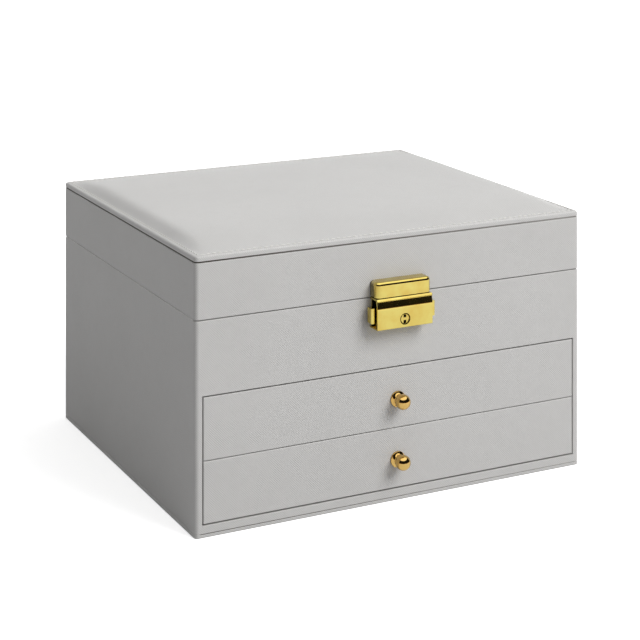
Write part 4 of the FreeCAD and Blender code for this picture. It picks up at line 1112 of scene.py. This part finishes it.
def studio_world():
    """White to the camera, even for soft light, and a white backdrop in a dark room for reflections."""
    world = bpy.data.worlds.new("studio")
    bpy.context.scene.world = world
    world.use_nodes = True
    tree = world.node_tree
    tree.nodes.clear()
    path = add(tree, "ShaderNodeLightPath").outputs
    coords = add(tree, "ShaderNodeTexCoord").outputs["Generated"]
    direction = add(tree, "ShaderNodeSeparateXYZ", {0: coords}).outputs
    behind = ramp(tree, direction[1], 0.0, 0.5)
    backdrop = ramp(tree, direction[2], *BACKDROP_EDGE, BACKDROP_WHITE, 0.10)
    overhead = ramp(tree, direction[2], *OVERHEAD_EDGE, 0.0, OVERHEAD_WHITE)
    in_front = calc(tree, "SUBTRACT", 1.0, behind)
    horizon = calc(tree, "MULTIPLY", in_front, ramp(tree, direction[2], 0.0, HORIZON_HEIGHT, 1.0, 0.0))
    above = calc(tree, "ADD", calc(tree, "MULTIPLY", behind, backdrop), overhead)
    mirrored = calc(tree, "ADD", above, calc(tree, "MULTIPLY_ADD", horizon, HORIZON_GLOW, ROOM_DARK))
    room_colour = mix_colour(tree, horizon, WHITE, HORIZON_COLOUR)
    leaning = calc(tree, "MULTIPLY_ADD", direction[0], WORLD_SOFT * WORLD_LEAN, WORLD_SOFT)
    diffuse = add(tree, "ShaderNodeBackground", {"Color": WHITE, "Strength": leaning})
    glossy = add(tree, "ShaderNodeBackground", {"Color": room_colour, "Strength": mirrored})
    camera = add(tree, "ShaderNodeBackground", {"Color": WHITE, "Strength": 1.0})
    lit = chosen(tree, path["Is Glossy Ray"], diffuse, glossy)
    add(tree, "ShaderNodeOutputWorld", {0: chosen(tree, path["Is Camera Ray"], lit, camera).outputs[0]})


def key_light():
    """One large softbox from the front right, which polished metal doesn't mirror."""
    light = bpy.data.lights.new("key_softbox", "AREA")
    light.shape = "RECTANGLE"
    light.size = light.size_y = KEY_SIZE
    light.energy = KEY_POWER
    turn, rise = math.radians(KEY_AZIMUTH), math.radians(KEY_ELEVATION)
    towards = Vector((math.sin(turn) * math.cos(rise), -math.cos(turn) * math.cos(rise), math.sin(rise)))
    lamp = placed("key_softbox", light)
    lamp.location = Vector(KEY_TARGET) + towards * KEY_DISTANCE
    lamp.rotation_euler = (-towards).to_track_quat("-Z", "Y").to_euler()
    lamp.visible_glossy = False


def driver_of(data, path, expression, variables):
    """A simple-expression driver on a value, from places and turns of named objects."""
    curve = data.driver_add(path)
    curve.driver.expression = expression
    for name, (target, channel) in variables.items():
        variable = curve.driver.variables.new()
        variable.name = name
        variable.type = "TRANSFORMS"
        variable.targets[0].id = target
        variable.targets[0].transform_type = channel
        variable.targets[0].transform_space = "WORLD_SPACE"


def photo_camera():
    """Level camera with lens shift. It widens for poses that reach far out of the closed chest's view."""
    data = bpy.data.cameras.new("camera")
    camera = placed("camera", data)
    camera.location = CAMERA_PLACE
    camera.rotation_euler = (math.radians(90), 0, math.radians(CAMERA_TURN))
    data.sensor_width = 36.0
    data.lens = LENS
    data.clip_start = 0.02
    data.clip_end = 50.0
    bodies = {
        "lid": (frame["bodies"]["lid"], "ROT_X"),
        "upper": (frame["bodies"]["upper_drawer"], "LOC_Y"),
        "lower": (frame["bodies"]["lower_drawer"], "LOC_Y"),
    }
    closed = "(abs(lid) < 0.01 and abs(upper) < 0.01 and abs(lower) < 0.01)"
    driver_of(data, "lens", f"{LENS} if {closed} else {WIDE_LENS}", bodies)
    upright = "(abs(tilt - 1.5708) < 0.001 and height > 0.3)"
    own = {"tilt": (camera, "ROT_X"), "height": (camera, "LOC_Z")}
    shift = f"(({LENS_SHIFT} if {closed} else {WIDE_SHIFT}) if {upright} else 0)"
    driver_of(data, "shift_y", shift, {**bodies, **own})
    bpy.context.scene.camera = camera


# ==== build ====
paint_cad()
padded_top()
top_stitching()
# Strips of painted shade in the seams under the lid's top and over the base board.
edge_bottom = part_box("top_cover")[0][2]
seam_shade_strip("edge_seam_shade", "lid", edge_bottom - SEAM_SHADE_LAP, edge_bottom + EDGE_GAP + SEAM_SHADE_LAP, EDGE_SHADE_INSETS)
base_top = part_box("base_board")[1][2]
seam_shade_strip("base_seam_shade", "case", base_top - BASE_SEAM, base_top + BASE_SEAM, BASE_SHADE_INSETS)
rim_bead()
velvet_tray("velvet_upper_lining", "upper_lining", "case", TRAY_WALL, LINING_FLOOR, TRAY_CORNER)
velvet_walls("velvet_tray_walls", "tray_dividers", "case")
ring_rolls()
velvet_tray("velvet_lid_lining", "lid_lining", "lid", LINING_FLOOR, LID_LINING_FLOOR, BOX_CORNER, True)
padded_mirror_frame()
for drawer in ("upper", "lower"):
    body = f"{drawer}_drawer"
    velvet_tray(f"velvet_{drawer}_lining", f"{body}_lining", body, DRAWER_LINING_WALL, LINING_FLOOR,
                BOX_CORNER)
    velvet_walls(f"velvet_{drawer}_walls", f"{body}_dividers", body)
    turned_knob(f"{drawer}_turned_knob", f"{body}_knob", body)
lock_shell()
key_plug()
hasp_cap()
stage_floor()
studio_world()
key_light()
photo_camera()
bpy.context.scene.view_settings.view_transform = "Standard"
